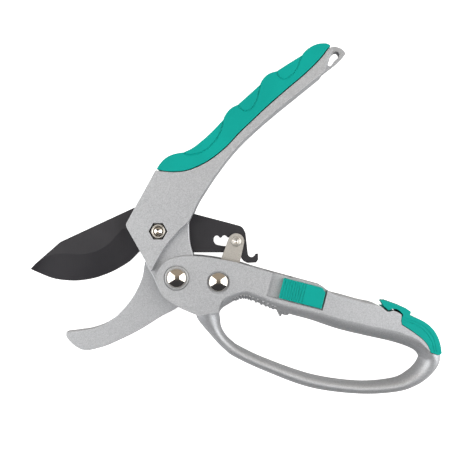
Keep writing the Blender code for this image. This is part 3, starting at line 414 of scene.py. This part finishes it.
def bar(name, path, flatten=1.0):
    """A round bar through points (x, y, z, radius), flattened or deepened about its middle."""
    bpy.ops.object.select_all(action="DESELECT")
    bpy.ops.curve.primitive_bezier_curve_add(radius=MM)
    obj = bpy.context.object
    obj.name = name
    curve = obj.data
    curve.splines.clear()
    curve.dimensions = "3D"
    curve.bevel_depth = MM
    curve.bevel_resolution = 6
    curve.resolution_u = 8
    curve.use_fill_caps = True
    spline = curve.splines.new("BEZIER")
    spline.bezier_points.add(len(path) - 1)
    middle = path[0][2]
    for knot, (x, y, z, radius) in zip(spline.bezier_points, path):
        knot.co = (x * MM, y * MM, (z - middle) * MM)
        knot.handle_left_type = "AUTO"
        knot.handle_right_type = "AUTO"
        knot.radius = radius
    obj.scale.z = flatten
    obj.location = (PIVOT.x, PIVOT.y, middle * MM)
    bpy.ops.object.convert(target="MESH")
    obj = settle(bpy.context.object)
    bpy.ops.object.mode_set(mode="EDIT")
    bpy.ops.mesh.select_all(action="SELECT")
    bpy.ops.mesh.remove_doubles(threshold=1e-6)
    bpy.ops.mesh.normals_make_consistent(inside=False)
    bpy.ops.object.mode_set(mode="OBJECT")
    return obj


def oval_ring(name, path, sides=40, steps=8):
    """A closed ring of oval sections through points (x, y, half width, half depth)."""
    bpy.ops.object.select_all(action="DESELECT")
    bpy.ops.mesh.primitive_circle_add(vertices=sides, radius=MM)
    obj = bpy.context.object
    obj.name = name
    looped = [*path[-2:], *path, *path[:3]]
    line = smooth_line(looped, steps)[2 * steps:(2 + len(path)) * steps]
    only(obj)
    bpy.ops.object.mode_set(mode="EDIT")
    shape = bmesh.from_edit_mesh(obj.data)
    bmesh.ops.delete(shape, geom=shape.verts[:], context="VERTS")
    rings = []
    for index, (x, y, half_width, half_depth) in enumerate(line):
        ahead = Vector(line[(index + 1) % len(line)][:2])
        along = (ahead - Vector(line[index - 1][:2])).normalized()
        ring = []
        for side in range(sides):
            angle = 2 * math.pi * side / sides
            out = half_width * math.cos(angle)
            ring.append(shape.verts.new((
                PIVOT.x + (x + along.y * out) * MM, PIVOT.y + (y - along.x * out) * MM,
                (MIDDLE + half_depth * math.sin(angle)) * MM,
            )))
        rings.append(ring)
    for ring, after in zip(rings, rings[1:] + rings[:1]):
        for side in range(sides):
            beside = (side + 1) % sides
            shape.faces.new((ring[side], ring[beside], after[beside], after[side]))
    bmesh.update_edit_mesh(obj.data)
    bpy.ops.mesh.select_all(action="SELECT")
    bpy.ops.mesh.normals_make_consistent(inside=False)
    bpy.ops.object.mode_set(mode="OBJECT")
    return obj


def rod(name, spot, radius, low, high, sides=64, turn=0.0):
    bpy.ops.object.select_all(action="DESELECT")
    bpy.ops.mesh.primitive_cylinder_add(
        vertices=sides, radius=radius * MM, depth=(high - low) * MM,
        location=(PIVOT.x + spot[0] * MM, PIVOT.y + spot[1] * MM, (low + high) / 2 * MM),
        rotation=(0.0, 0.0, turn),
    )
    obj = bpy.context.object
    obj.name = name
    return settle(obj)


def rectangle(x_low, x_high, y_low, y_high):
    return [(x_low, y_low, 1), (x_high, y_low, 1), (x_high, y_high, 1), (x_low, y_high, 1)]


def combine(obj, other, operation):
    """Joins or cuts with another solid, which is then removed."""
    only(obj)
    modifier = obj.modifiers.new("Join or cut", "BOOLEAN")
    modifier.operation = operation
    modifier.solver = "MANIFOLD"
    modifier.object = other
    bpy.ops.object.modifier_apply(modifier=modifier.name)
    bpy.data.objects.remove(other, do_unlink=True)


def soften(obj, width_at, segments=4, limit=35.0):
    """Rounds sharp edges. width_at gives the rounding, in millimetres, at a point."""
    only(obj)
    mesh = obj.data
    shape = bmesh.new()
    shape.from_mesh(mesh)
    weight = shape.edges.layers.float.new("bevel_weight_edge")
    widest = 0.0
    for edge in shape.edges:
        if len(edge.link_faces) == 2 and edge.calc_face_angle() > math.radians(limit):
            middle = (edge.verts[0].co + edge.verts[1].co) / 2 - PIVOT
            edge[weight] = width_at(middle.x / MM, middle.y / MM, (middle.z + PIVOT.z) / MM)
            widest = max(widest, edge[weight])
    for edge in shape.edges:
        edge[weight] = edge[weight] / widest
    shape.to_mesh(mesh)
    shape.free()
    bevel = obj.modifiers.new("Rounding", "BEVEL")
    bevel.limit_method = "WEIGHT"
    bevel.width = widest * MM
    bevel.segments = segments
    bevel.miter_outer = "MITER_ARC"
    bpy.ops.object.modifier_apply(modifier=bevel.name)


def close_slivers(obj):
    """Joins points a few microns apart, and so removes the slivers that cuts leave."""
    only(obj)
    bpy.ops.object.mode_set(mode="EDIT")
    bpy.ops.mesh.select_all(action="SELECT")
    bpy.ops.mesh.remove_doubles(threshold=SLIVER)
    bpy.ops.mesh.dissolve_degenerate(threshold=SLIVER)
    bpy.ops.object.mode_set(mode="OBJECT")


def finish_piece(obj, look, body, node, angle=32.0):
    """Smooth shading, material, and the CAD node that the piece stands for."""
    only(obj)
    bpy.ops.object.shade_smooth_by_angle(angle=math.radians(angle))
    level = obj.modifiers.new("Even shading", "WEIGHTED_NORMAL")
    level.keep_sharp = True
    bpy.ops.object.modifier_apply(modifier=level.name)
    obj.data.materials.clear()
    obj.data.materials.append(look)
    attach(obj, body)
    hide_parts(*([node] if isinstance(node, str) else node))
    return obj


def turned(name, profile, spot, sides=96):
    """A piece spun about an upright axis, from a profile of (radius, height) points."""
    bpy.ops.object.select_all(action="DESELECT")
    bpy.ops.mesh.primitive_plane_add(size=MM, location=(0.0, 0.0, 0.0))
    obj = bpy.context.object
    obj.name = name
    centre = (PIVOT.x + spot[0] * MM, PIVOT.y + spot[1] * MM, 0.0)
    bpy.ops.object.mode_set(mode="EDIT")
    shape = bmesh.from_edit_mesh(obj.data)
    bmesh.ops.delete(shape, geom=shape.verts[:], context="VERTS")
    line = [
        shape.verts.new((centre[0] + radius * MM, centre[1], level * MM))
        for radius, level in profile
    ]
    for start, end in zip(line, line[1:]):
        shape.edges.new((start, end))
    bmesh.update_edit_mesh(obj.data)
    bpy.ops.mesh.select_all(action="SELECT")
    bpy.ops.mesh.spin(
        steps=sides, angle=2 * math.pi, center=centre, axis=(0.0, 0.0, 1.0), dupli=False
    )
    bpy.ops.mesh.select_all(action="SELECT")
    bpy.ops.mesh.remove_doubles(threshold=2e-6)
    bpy.ops.mesh.normals_make_consistent(inside=False)
    bpy.ops.object.mode_set(mode="OBJECT")
    return obj


def smooth_line(points, steps):
    """Points along a smooth curve through the given ones."""
    ends = [points[0], *points, points[-1]]
    line = []
    for p0, p1, p2, p3 in zip(ends, ends[1:], ends[2:], ends[3:]):
        for step in range(steps):
            t = step / steps
            line.append(tuple(
                0.5 * (2 * b + (c - a) * t + (2 * a - 5 * b + 4 * c - d) * t * t
                       + (3 * b - a - 3 * c + d) * t ** 3)
                for a, b, c, d in zip(p0, p1, p2, p3)
            ))
    return line + [points[-1]]


def repaint(obj, look, chosen):
    """Gives a second material to the faces that chosen(x, y, z, normal) picks, in millimetres."""
    obj.data.materials.append(look)
    slot = len(obj.data.materials) - 1
    for face in obj.data.polygons:
        spot = face.center - PIVOT
        if chosen(spot.x / MM, spot.y / MM, face.center.z / MM, face.normal):
            face.material_index = slot


def near(x, y, spot, radius):
    return math.hypot(x - spot[0], y - spot[1]) < radius


# ---------------------------------------------------------------- upper handle

POCKET_FLOOR = height("pivot_nut", 0) - FIT_GAP
HEAD_FLOOR = height("pivot_washer", 1) + FIT_GAP
SLEEVE_BORE = 4.4
BOLT_BORE = 2.8
HEAD_WELL = 5.0
HOOK_DROP = 2.3
HOOK_ROUND = 1.5
HOOK_STEP_RADIUS = 17.0
NECK_ROUND = 0.9
NUT_HALF_FLATS = 3.7
NUT_ROOM = 0.4
POCKET_CORNER = (NUT_HALF_FLATS + NUT_ROOM) / math.cos(HEX_TURN)
POCKET_REACH = 5.4
TONGUE_INSET = 4.0
TAB_HALF = 2.6
TAB_ROUND = 0.8
TAB_HOLE_ROUND = 0.35
TAB_HOLE_SPOT = (89.1, 88.4)
TAB_HOLE_REACH = 4.4
GRIP_ROUND = 2.0
CREASE_RADIUS = 0.4
CREASE_DRAW_IN = 1.024


def head_casting():
    """The cast head with its arm, tongue, hanging tab, neck and hooked jaw."""
    casting = drawn("upper_handle_casting", [BODY], 0.0, TOP)
    soften(casting, lambda x, y, z: EDGE_ROUND)
    hook = drawn("hook", [HOOK], NECK_LOW - HOOK_DROP, SLOT_LOW)
    soften(hook, lambda x, y, z: HOOK_ROUND)
    step = rod("hook_step", HANDLE_SPOT, HOOK_STEP_RADIUS, -PAST, NECK_LOW)
    combine(hook, step, "DIFFERENCE")
    neck = drawn("neck", [NECK], NECK_LOW, NECK_TOP)
    soften(neck, lambda x, y, z: NECK_ROUND, 3)
    tongue = drawn("tongue", [TONGUE], TONGUE_INSET, TOP - TONGUE_INSET)
    tab = drawn("tab", [TAB, TAB_HOLE], MIDDLE - TAB_HALF, MIDDLE + TAB_HALF)
    soften(tab, lambda x, y, z: (
        TAB_HOLE_ROUND if near(x, y, TAB_HOLE_SPOT, TAB_HOLE_REACH) else TAB_ROUND
    ), 3)
    for other in (hook, neck, tongue, tab):
        combine(casting, other, "UNION")
    holes = (
        drawn("slot", [BLADE_SWEEP], SLOT_LOW, SLOT_TOP),
        rod("bolt_bore", NECK_SPOT, BOLT_BORE, -PAST, TOP + PAST),
        rod("nut_pocket", NECK_SPOT, POCKET_CORNER, POCKET_FLOOR, TOP + PAST, 6, HEX_TURN),
        rod("head_well", NECK_SPOT, HEAD_WELL, -PAST, HEAD_FLOOR),
        rod("sleeve_bore", HANDLE_SPOT, SLEEVE_BORE, -PAST, TOP + PAST),
    )
    for hole in holes:
        combine(casting, hole, "DIFFERENCE")
    close_slivers(casting)
    finish_piece(casting, PAINT, "upper_body", "upper_handle")
    # Painted shade: the side walls of the nut pocket get the dark painted-shade material.
    repaint(casting, POCKET_SHADE, lambda x, y, z, normal: (
        near(x, y, NECK_SPOT, POCKET_REACH) and z > POCKET_FLOOR - 0.1
        and normal.z < 0.9
    ))
    return casting


def drawn_in(point):
    """A crease's point, drawn in towards the middle of the view to a tenth of a millimetre."""
    return [
        round(middle + (value - middle) / CREASE_DRAW_IN, 1)
        for value, middle in zip(point, VIEW_MIDDLE)
    ]


def moulded_grip():
    """The rubber grip, with three thumb crescents pressed into each face."""
    grip = drawn("moulded_grip", [GRIP], 0.0, TOP)
    soften(grip, lambda x, y, z: GRIP_ROUND, 5)
    inset, half = TONGUE_INSET - FIT_GAP, TAB_HALF + FIT_GAP
    for room in (
        drawn("tongue_room", [TONGUE], inset, TOP - inset, FIT_GAP),
        drawn("tab_room", [TAB], MIDDLE - half, MIDDLE + half, FIT_GAP),
    ):
        combine(grip, room, "DIFFERENCE")
    for crease in GRIP_CREASES:
        for level in (0.0, TOP):
            line = [(*drawn_in(point), level, CREASE_RADIUS) for point in crease]
            combine(grip, bar("crease", line), "DIFFERENCE")
    close_slivers(grip)
    finish_piece(grip, TEAL, "upper_body", "upper_grip")
    return grip


# ---------------------------------------------------------------- blade

BLADE_ROUND = 0.35
BUSH_HOLE = 4.9


def ground_blade():
    """The blade: a flat plate whose front is ground away from the grind line to the edge."""
    steps = 5
    edge = smooth_line([point[:2] for point in BLADE_EDGE], steps)
    grind = smooth_line(GRIND_LINE, steps)
    outline = BLADE_BACK + [(x, y, 1) for x, y in edge]
    blade = drawn("ground_blade", [outline], BLADE_LOW, BLADE_TOP)
    only(blade)
    bpy.ops.object.mode_set(mode="EDIT")
    shape = bmesh.from_edit_mesh(blade.data)
    corners = [vert for vert in shape.verts if vert.co.z > (BLADE_LOW + BLADE_TOP) / 2 * MM]
    for (x, y), (grind_x, grind_y) in zip(edge, grind):
        place = PIVOT.xy + Vector((x, y)) * MM
        corner = min(corners, key=lambda vert: (vert.co.xy - place).length)
        corner.co.x = PIVOT.x + grind_x * MM
        corner.co.y = PIVOT.y + grind_y * MM
    bmesh.update_edit_mesh(blade.data)
    bpy.ops.object.mode_set(mode="OBJECT")
    soften(blade, lambda x, y, z: BLADE_ROUND, 2, 55.0)
    low, top = BLADE_LOW - PAST, BLADE_TOP + PAST
    combine(blade, rod("bush_hole", NECK_SPOT, BUSH_HOLE, low, top), "DIFFERENCE")
    combine(blade, drawn("pin_slot", [PIN_SLOT], low, top), "DIFFERENCE")
    finish_piece(blade, DARK, "blade", "cutting_blade", 9.0)
    return blade


# ---------------------------------------------------------------- lower handle

RAIL_OUTER = [(39.1, -35.2), (42.6, -34.2), (46.1, -34.9), (52.8, -37.6), (58.0, -39.6)]
RAIL_INNER = [(37.6, -31.1), (42.6, -29.8), (47.2, -30.6), (54.4, -33.5), (59.6, -35.5)]
LOWER_FACE = [
    (-0.8, -24.0), (0.2, -19.4), (3.8, -15.3), (8.2, -13.3), (13.0, -12.5), (17.9, -12.4),
    (24.2, -12.9), (31.3, -14.0), (40.2, -15.8), (47.4, -18.0), (66.0, -23.2),
    (82.6, -27.7, 1), (87.9, -31.4), (94.0, -33.1), (103.2, -35.7), (111.6, -37.8),
    (115.2, -40.2), (118.0, -39.8), (121.8, -41.6, 1), (121.8, -46.4, 1), (128.4, -50.7),
    (134.4, -55.7), (136.4, -60.6, 1), (130.0, -54.0, 1), (120.0, -50.2), (107.0, -47.4),
    (92.5, -44.0), (79.0, -40.3), (68.0, -37.8), (59.6, -35.5), (54.4, -33.5),
    (47.2, -30.6), (42.6, -29.8), (37.6, -31.1), (33.0, -33.6, 1), (30.8, -37.4),
    (30.4, -40.6, 1), (20.4, -42.4, 1), (15.6, -40.4), (11.0, -38.3), (6.4, -35.4), (2.9, -32.9),
    (0.4, -28.8),
]


CAVITY_LOW = 3.4
RIDGE_COUNT = 12
RIDGE_RADIUS = 0.55
RIVET_BORE = 3.3
DOME_SEAT_DEPTH = 1.0
FOOT_SEAT = 5.0
FOOT_SEAT_DEPTH = 1.8
HANDLE_SEAT, LINK_SEAT = 6.4, 5.7
TRACK_DEPTH = 2.2
CATCH_GAP = 0.1
PEG_HALF = 3.0
SPUR_CONES = [
    [(62.2, -36.5, MIDDLE, 4.4), (61.8, -43.8, MIDDLE, 0.35)],
    [(65.0, -36.5, MIDDLE, 4.4), (64.6, -42.9, MIDDLE, 1.5)],
]


def on_loop_side(x, y):
    """Whether a point of the face's outline lies over the finger loop's ring."""
    return 32.0 < x < 134.0 and y < -25.0 - 0.262 * (x - 36.0)


def loop_handle():
    """The forked lower handle with its finger loop, ridges and slider track."""
    casting = drawn("lower_handle_casting", [LOWER_FACE], 0.0, TOP)
    soften(casting, lambda x, y, z: 0.0 if on_loop_side(x, y) else EDGE_ROUND)
    combine(casting, oval_ring("finger_loop", LOOP_RING), "UNION")
    for cone in SPUR_CONES:
        combine(casting, bar("finger_spur", cone, 1.9), "UNION")
    outer = smooth_line(RAIL_OUTER, 8)
    inner = smooth_line(RAIL_INNER, 8)
    for index in range(RIDGE_COUNT):
        step = round(index * (len(outer) - 1) / (RIDGE_COUNT - 1))
        side = Vector(outer[step]) - Vector(inner[step])
        path = []
        for turn in (-62, -40, -20, 0, 20, 40, 62):
            angle = math.radians(turn)
            spot = Vector(inner[step]) + side * math.cos(angle)
            path.append((spot.x, spot.y, MIDDLE * (1 + math.sin(angle)), RIDGE_RADIUS))
        combine(casting, bar("ridge", path), "UNION")
    holes = [drawn("cavity", [CAVITY], CAVITY_LOW, NECK_TOP + RUNNING_GAP)]
    for spot, seat in ((HANDLE_SPOT, HANDLE_SEAT), (LINK_SPOT, LINK_SEAT)):
        holes.append(rod("rivet_bore", spot, RIVET_BORE, -PAST, TOP + PAST))
        holes.append(rod("dome_seat", spot, seat, TOP - DOME_SEAT_DEPTH, TOP + PAST))
        holes.append(rod("foot_seat", spot, FOOT_SEAT, -PAST, FOOT_SEAT_DEPTH))
    floor = TOP - TRACK_DEPTH
    track = drawn(
        "slider_track", [rectangle(-17.05, 11.85, -5.8, 9.2)], floor, TOP + PAST, 0.0,
        SLIDER_SPOT, SLIDER_TURN
    )
    stem_slot = drawn(
        "stem_slot", [rectangle(-8.1, 2.6, -1.9, 1.9)], MIDDLE, floor + PAST, 0.0,
        SLIDER_SPOT, SLIDER_TURN
    )
    catch_room = drawn(
        "catch_room", [rectangle(-14.0, 3.0, -2.3, 10.2)], BLADE_LOW - CATCH_GAP,
        BLADE_TOP + CATCH_GAP, 0.0, SLIDER_SPOT, SLIDER_TURN
    )
    seat = drawn("bumper_seat", [BUMPER], -PAST, TOP + PAST, FIT_GAP)
    peg_room = PEG_HALF + FIT_GAP
    peg_slot = drawn(
        "peg_slot", [rectangle(117.0, 130.0, -48.6, -43.4)], MIDDLE - peg_room,
        MIDDLE + peg_room
    )
    for hole in (*holes, track, stem_slot, catch_room, seat, peg_slot):
        combine(casting, hole, "DIFFERENCE")
    close_slivers(casting)
    finish_piece(casting, PAINT, "lower_body", "lower_handle")
    return casting


SLIDER_FLOOR = TOP - 1.9
SLIDER_ROUND = 0.5
RIB_COUNT = 9
RIB_START, RIB_PITCH = -9.9, 1.3
RIB_RADIUS, RIB_RISE = 0.45, 0.12


def thumb_slider():
    """The slider, its left half ribbed, its far upper corner cut off, on its stem."""
    top = height("lock_slider", 1)
    slider = drawn("thumb_slider", [[
        (-10.95, -5.2, 1), (10.95, -5.2, 1), (10.95, 3.2, 1), (8.95, 5.2, 1), (-10.95, 5.2, 1),
    ]], SLIDER_FLOOR, top, 0.0, SLIDER_SPOT, SLIDER_TURN)
    soften(slider, lambda x, y, z: SLIDER_ROUND, 4)
    stem = drawn(
        "stem", [rectangle(-2.2, 2.2, -1.5, 1.5)], height("lock_catch", 1) + FIT_GAP,
        SLIDER_FLOOR + 0.5, 0.0, SLIDER_SPOT, SLIDER_TURN
    )
    combine(slider, stem, "UNION")
    turn = Matrix.Rotation(SLIDER_TURN, 2)
    for index in range(RIB_COUNT):
        across = RIB_START + index * RIB_PITCH
        ends = [
            turn @ Vector((across, along)) + Vector(SLIDER_SPOT) for along in (-7.0, 0.0, 7.0)
        ]
        line = [(spot.x, spot.y, top + RIB_RISE, RIB_RADIUS) for spot in ends]
        combine(slider, bar("rib_groove", line), "DIFFERENCE")
    finish_piece(slider, TEAL, "slider", "lock_slider")
    return slider


BUMPER_LOW, BUMPER_TOP = 1.0, TOP - 0.6
BUMPER_ROUND, BARB_ROUND = 1.1, 0.35
BARB_END = 116.0
BARB_DEPTH = 4.5
BAND_RADIUS = 0.2
BAND_OUTER = [(123.4, -43.4), (131.4, -46.6), (135.2, -49.6), (137.8, -53.4), (139.6, -60.6)]
BAND_INNER = [(123.0, -44.6), (130.8, -47.9), (134.2, -50.9), (136.6, -54.6), (138.4, -60.4)]


def end_bumper():
    """The snap-in bumper over the end of the loop, with a raised band along its outside."""
    bumper = drawn("moulded_bumper", [BUMPER], BUMPER_LOW, BUMPER_TOP)
    soften(bumper, lambda x, y, z: BARB_ROUND if x < BARB_END else BUMPER_ROUND, 5)
    relief = drawn(
        "barb_relief", [rectangle(109.0, 116.6, -38.8, -32.0)], -PAST, TOP - BARB_DEPTH
    )
    combine(bumper, relief, "DIFFERENCE")
    peg = drawn(
        "peg", [rectangle(117.6, 127.0, -48.0, -44.0)], MIDDLE - PEG_HALF, MIDDLE + PEG_HALF
    )
    combine(bumper, peg, "UNION")
    for level in (BUMPER_LOW, BUMPER_TOP):
        for edge in (BAND_OUTER, BAND_INNER):
            line = [(x, y, level, BAND_RADIUS) for x, y in edge]
            combine(bumper, bar("band_groove", line), "DIFFERENCE")
    close_slivers(bumper)
    finish_piece(bumper, TEAL, "lower_body", "end_bumper")
    return bumper


# ---------------------------------------------------------------- hardware

DOME_CROWN, DOME_EDGE, DOME_RIM = 2.3, 4.9, 0.4
SHANK, FOOT, FOOT_TOP = 3.0, 4.6, 1.5


def domed_rivet(name, node, spot):
    """A polished domed rivet with a turned foot at the back."""
    top = height(node, 1)
    low = height(node, 0)
    base = top - DOME_CROWN - DOME_RIM
    profile = [(0.0, top)] + [
        (DOME_EDGE * math.sin(angle), base + DOME_RIM + DOME_CROWN * math.cos(angle))
        for angle in [math.pi / 2 * step / 16 for step in range(1, 17)]
    ]
    profile += [
        (DOME_EDGE, base), (SHANK, base), (SHANK, FOOT_TOP), (FOOT, FOOT_TOP),
        (FOOT, low + 0.3), (FOOT - 0.3, low),
        (1.6, low), (1.2, low + 0.5), (0.0, low + 0.5),
    ]
    rivet = turned(name, profile, spot)
    finish_piece(rivet, POLISHED, "lower_body", node)
    return rivet


def rivet_washer():
    """The satin ring under the handle rivet's dome."""
    low, top = height("rivet_washer", 0), height("rivet_washer", 1)
    ring = turned("satin_ring", [
        (3.3, top), (5.2, top), (5.35, top + 0.18), (5.7, top + 0.18), (5.95, top),
        (5.95, low), (3.3, low), (3.3, top),
    ], HANDLE_SPOT)
    finish_piece(ring, SATIN, "lower_body", "rivet_washer")
    return ring


def hex_nut():
    """The pivot nut: a chamfered hexagon with a turned ring and a bore."""
    low, top = height("pivot_nut", 0), height("pivot_nut", 1)
    corner = NUT_HALF_FLATS / math.cos(HEX_TURN)
    nut = rod("hexagon_nut", NECK_SPOT, corner, low, top, 6, HEX_TURN)
    cone = turned("nut_chamfer", [
        (0.0, top), (3.3, top), (3.62, top - 0.25), (4.6, top - 1.4), (4.6, low + 0.7),
        (3.4, low), (0.0, low),
    ], NECK_SPOT)
    combine(nut, cone, "INTERSECT")
    bore = turned("nut_bore", [
        (0.0, top + 1.0), (3.3, top + 0.3), (2.5, top - 0.6), (2.5, low - 1.0),
        (0.0, low - 1.0),
    ], NECK_SPOT)
    combine(nut, bore, "DIFFERENCE")
    soften(nut, lambda x, y, z: 0.12, 2, 28.0)
    finish_piece(nut, PLATED, "upper_body", "pivot_nut")
    return nut


def pivot_bolt():
    """The bolt through the blade: a domed, dimpled end in front, a socket head behind."""
    low, top = height("pivot_bolt", 0), height("pivot_bolt", 1)
    bolt = turned("slotted_bolt", [
        (0.0, top - 0.4), (0.4, top - 0.36), (0.8, top - 0.12), (1.2, top), (1.6, top - 0.12),
        (1.95, top - 0.4), (2.15, top - 0.8), (2.2, top - 1.2), (2.2, 3.5), (4.6, 3.5),
        (4.6, low + 0.8), (4.2, low + 0.2), (3.4, low), (0.0, low),
    ], NECK_SPOT)
    drive = rod("hex_drive", NECK_SPOT, 1.9, low - 1.0, low + 1.4, 6)
    combine(bolt, drive, "DIFFERENCE")
    close_slivers(bolt)
    finish_piece(bolt, POLISHED, "upper_body", "pivot_bolt")
    return bolt


EYE_END, PIN_END = 4.25, 4.1
LINK_BORE, PIN_BORE = 3.3, 1.5
LINK_ROUND = 0.45
PIN_HEAD = 0.8


def ratchet_link():
    """The two nickel plates of the link, with the pin that runs in the blade's notches."""
    web = [
        (PIN_SPOT[0] - 3.7, PIN_SPOT[1] + 1.8, 1), (31.5, -14.2, 1), (27.0, -22.7, 1),
        (30.2, -28.9, 1), (34.6, -27.2, 1), (39.4, -21.5, 1), (41.1, -15.6, 1),
        (PIN_SPOT[0] + 4.0, PIN_SPOT[1] - 0.9, 1),
    ]
    for node in ("link_front", "link_rear"):
        low, top = height(node, 0), height(node, 1)
        plate = drawn(node + "_plate", [web], low, top)
        combine(plate, rod("eye_end", LINK_SPOT, EYE_END, low, top), "UNION")
        combine(plate, rod("pin_end", PIN_SPOT, PIN_END, low, top), "UNION")
        weld(plate)
        soften(plate, lambda x, y, z: LINK_ROUND, 3, 50.0)
        for name, spot, bore in (("eye", LINK_SPOT, LINK_BORE), ("pin_eye", PIN_SPOT, PIN_BORE)):
            combine(plate, rod(name, spot, bore, low - PAST, top + PAST), "DIFFERENCE")
        finish_piece(plate, PLATED, "link", node)
    low, top = height("link_pin", 0), height("link_pin", 1)
    pin = turned("peened_pin", [
        (0.0, top - 0.35), (0.45, top - 0.3), (0.75, top - 0.08), (1.0, top), (1.5, top),
        (1.65, top - 0.12), (1.8, top - 0.02), (2.2, top - 0.06), (2.45, top - 0.3),
        (2.5, top - PIN_HEAD), (1.2, top - PIN_HEAD), (1.2, low + PIN_HEAD),
        (2.5, low + PIN_HEAD), (2.5, low + 0.3), (2.1, low), (0.0, low),
    ], PIN_SPOT)
    finish_piece(pin, PLATED, "link", "link_pin")


def carried_over():
    """Turned rings and springs that keep their shape, with their finished materials."""
    looks = {
        "pivot_washer": PLATED, "pivot_bush": PLATED, "handle_sleeve": PLATED,
        "link_washer_front": PLATED, "link_washer_rear": PLATED,
        "lock_catch": PLATED, "handle_spring": WIRE, "link_spring": WIRE,
    }
    for node, look in looks.items():
        for slot in frame["nodes"][node].material_slots:
            slot.material = look


head_casting()
moulded_grip()
ground_blade()
loop_handle()
thumb_slider()
end_bumper()
domed_rivet("handle_dome", "handle_rivet", HANDLE_SPOT)
domed_rivet("link_dome", "link_rivet", LINK_SPOT)
rivet_washer()
hex_nut()
pivot_bolt()
ratchet_link()
carried_over()


# ---------------------------------------------------------------- studio

def studio_floor():
    bpy.ops.object.select_all(action="DESELECT")
    bpy.ops.mesh.primitive_plane_add(size=4.0, location=(0.0, 0.0, -0.0002))
    floor = bpy.context.object
    floor.name = "studio_floor"
    material, tree, shader = new_material("Back-lit paper", (0.5, 0.5, 0.5), 0.9)
    paper = object_noise(tree, 30.0, 2.0)
    color = color_between(tree, paper, (0.5, 0.5, 0.5), (0.52, 0.52, 0.52))
    tree.links.new(color, shader.inputs["Base Color"])
    seen = tree.nodes.new("ShaderNodeLightPath")
    shader.inputs["Emission Color"].default_value = (1.0, 1.0, 1.0, 1.0)
    tree.links.new(seen.outputs["Is Camera Ray"], shader.inputs["Emission Strength"])
    floor.data.materials.append(material)
    settle(floor)


def soft_light(name, spot, aim, size, power):
    light = bpy.data.lights.new(name, "AREA")
    light.shape = "RECTANGLE"
    light.size, light.size_y = size
    light.energy = power
    lamp = bpy.data.objects.new(name, light)
    bpy.context.scene.collection.objects.link(lamp)
    lamp.location = spot
    lamp.rotation_euler = (Vector(aim) - Vector(spot)).to_track_quat("-Z", "Y").to_euler()
    lamp.visible_camera = False


WALL_SIDE, WALL_MIDDLE = 0.38, 0.8
WALL_SIZE, WALL_POWER = (0.5, 1.6), 8.0


def studio():
    """A pale floor between two tall soft walls of light, warm beyond the top, dark below."""
    studio_floor()
    for name, side in (("left_wall", -WALL_SIDE), ("right_wall", WALL_SIDE)):
        spot, aim = (side, 0.0, WALL_MIDDLE), (0.0, 0.0, WALL_MIDDLE)
        soft_light(name, spot, aim, WALL_SIZE, WALL_POWER)
    world = bpy.data.worlds.new("Studio glow")
    world.use_nodes = True
    tree = world.node_tree
    where = tree.nodes.new("ShaderNodeTexCoord")
    split = tree.nodes.new("ShaderNodeSeparateXYZ")
    ranged = tree.nodes.new("ShaderNodeMapRange")
    ranged.inputs["From Min"].default_value = -0.5
    ranged.inputs["From Max"].default_value = 0.5
    tree.links.new(where.outputs["Generated"], split.inputs["Vector"])
    tree.links.new(split.outputs["Y"], ranged.inputs["Value"])
    color = color_between(
        tree, ranged.outputs["Result"], (0.05, 0.05, 0.055), (0.42, 0.36, 0.29), 0.2, 0.8
    )
    tree.links.new(color, tree.nodes["Background"].inputs["Color"])
    bpy.context.scene.world = world
    bpy.context.scene.view_settings.view_transform = "Standard"


def camera():
    """Straight above the shears, a third of a metre over their front face."""
    eye_height = 0.33
    eye = bpy.data.cameras.new("overhead_camera")
    eye.sensor_width = 36.0
    eye.lens = 52.57
    eye.clip_start = 0.01
    holder = bpy.data.objects.new("overhead_camera", eye)
    bpy.context.scene.collection.objects.link(holder)
    holder.location = (
        PIVOT.x + VIEW_MIDDLE[0] * MM, PIVOT.y + VIEW_MIDDLE[1] * MM, TOP * MM + eye_height
    )
    bpy.context.scene.camera = holder


studio()
camera()
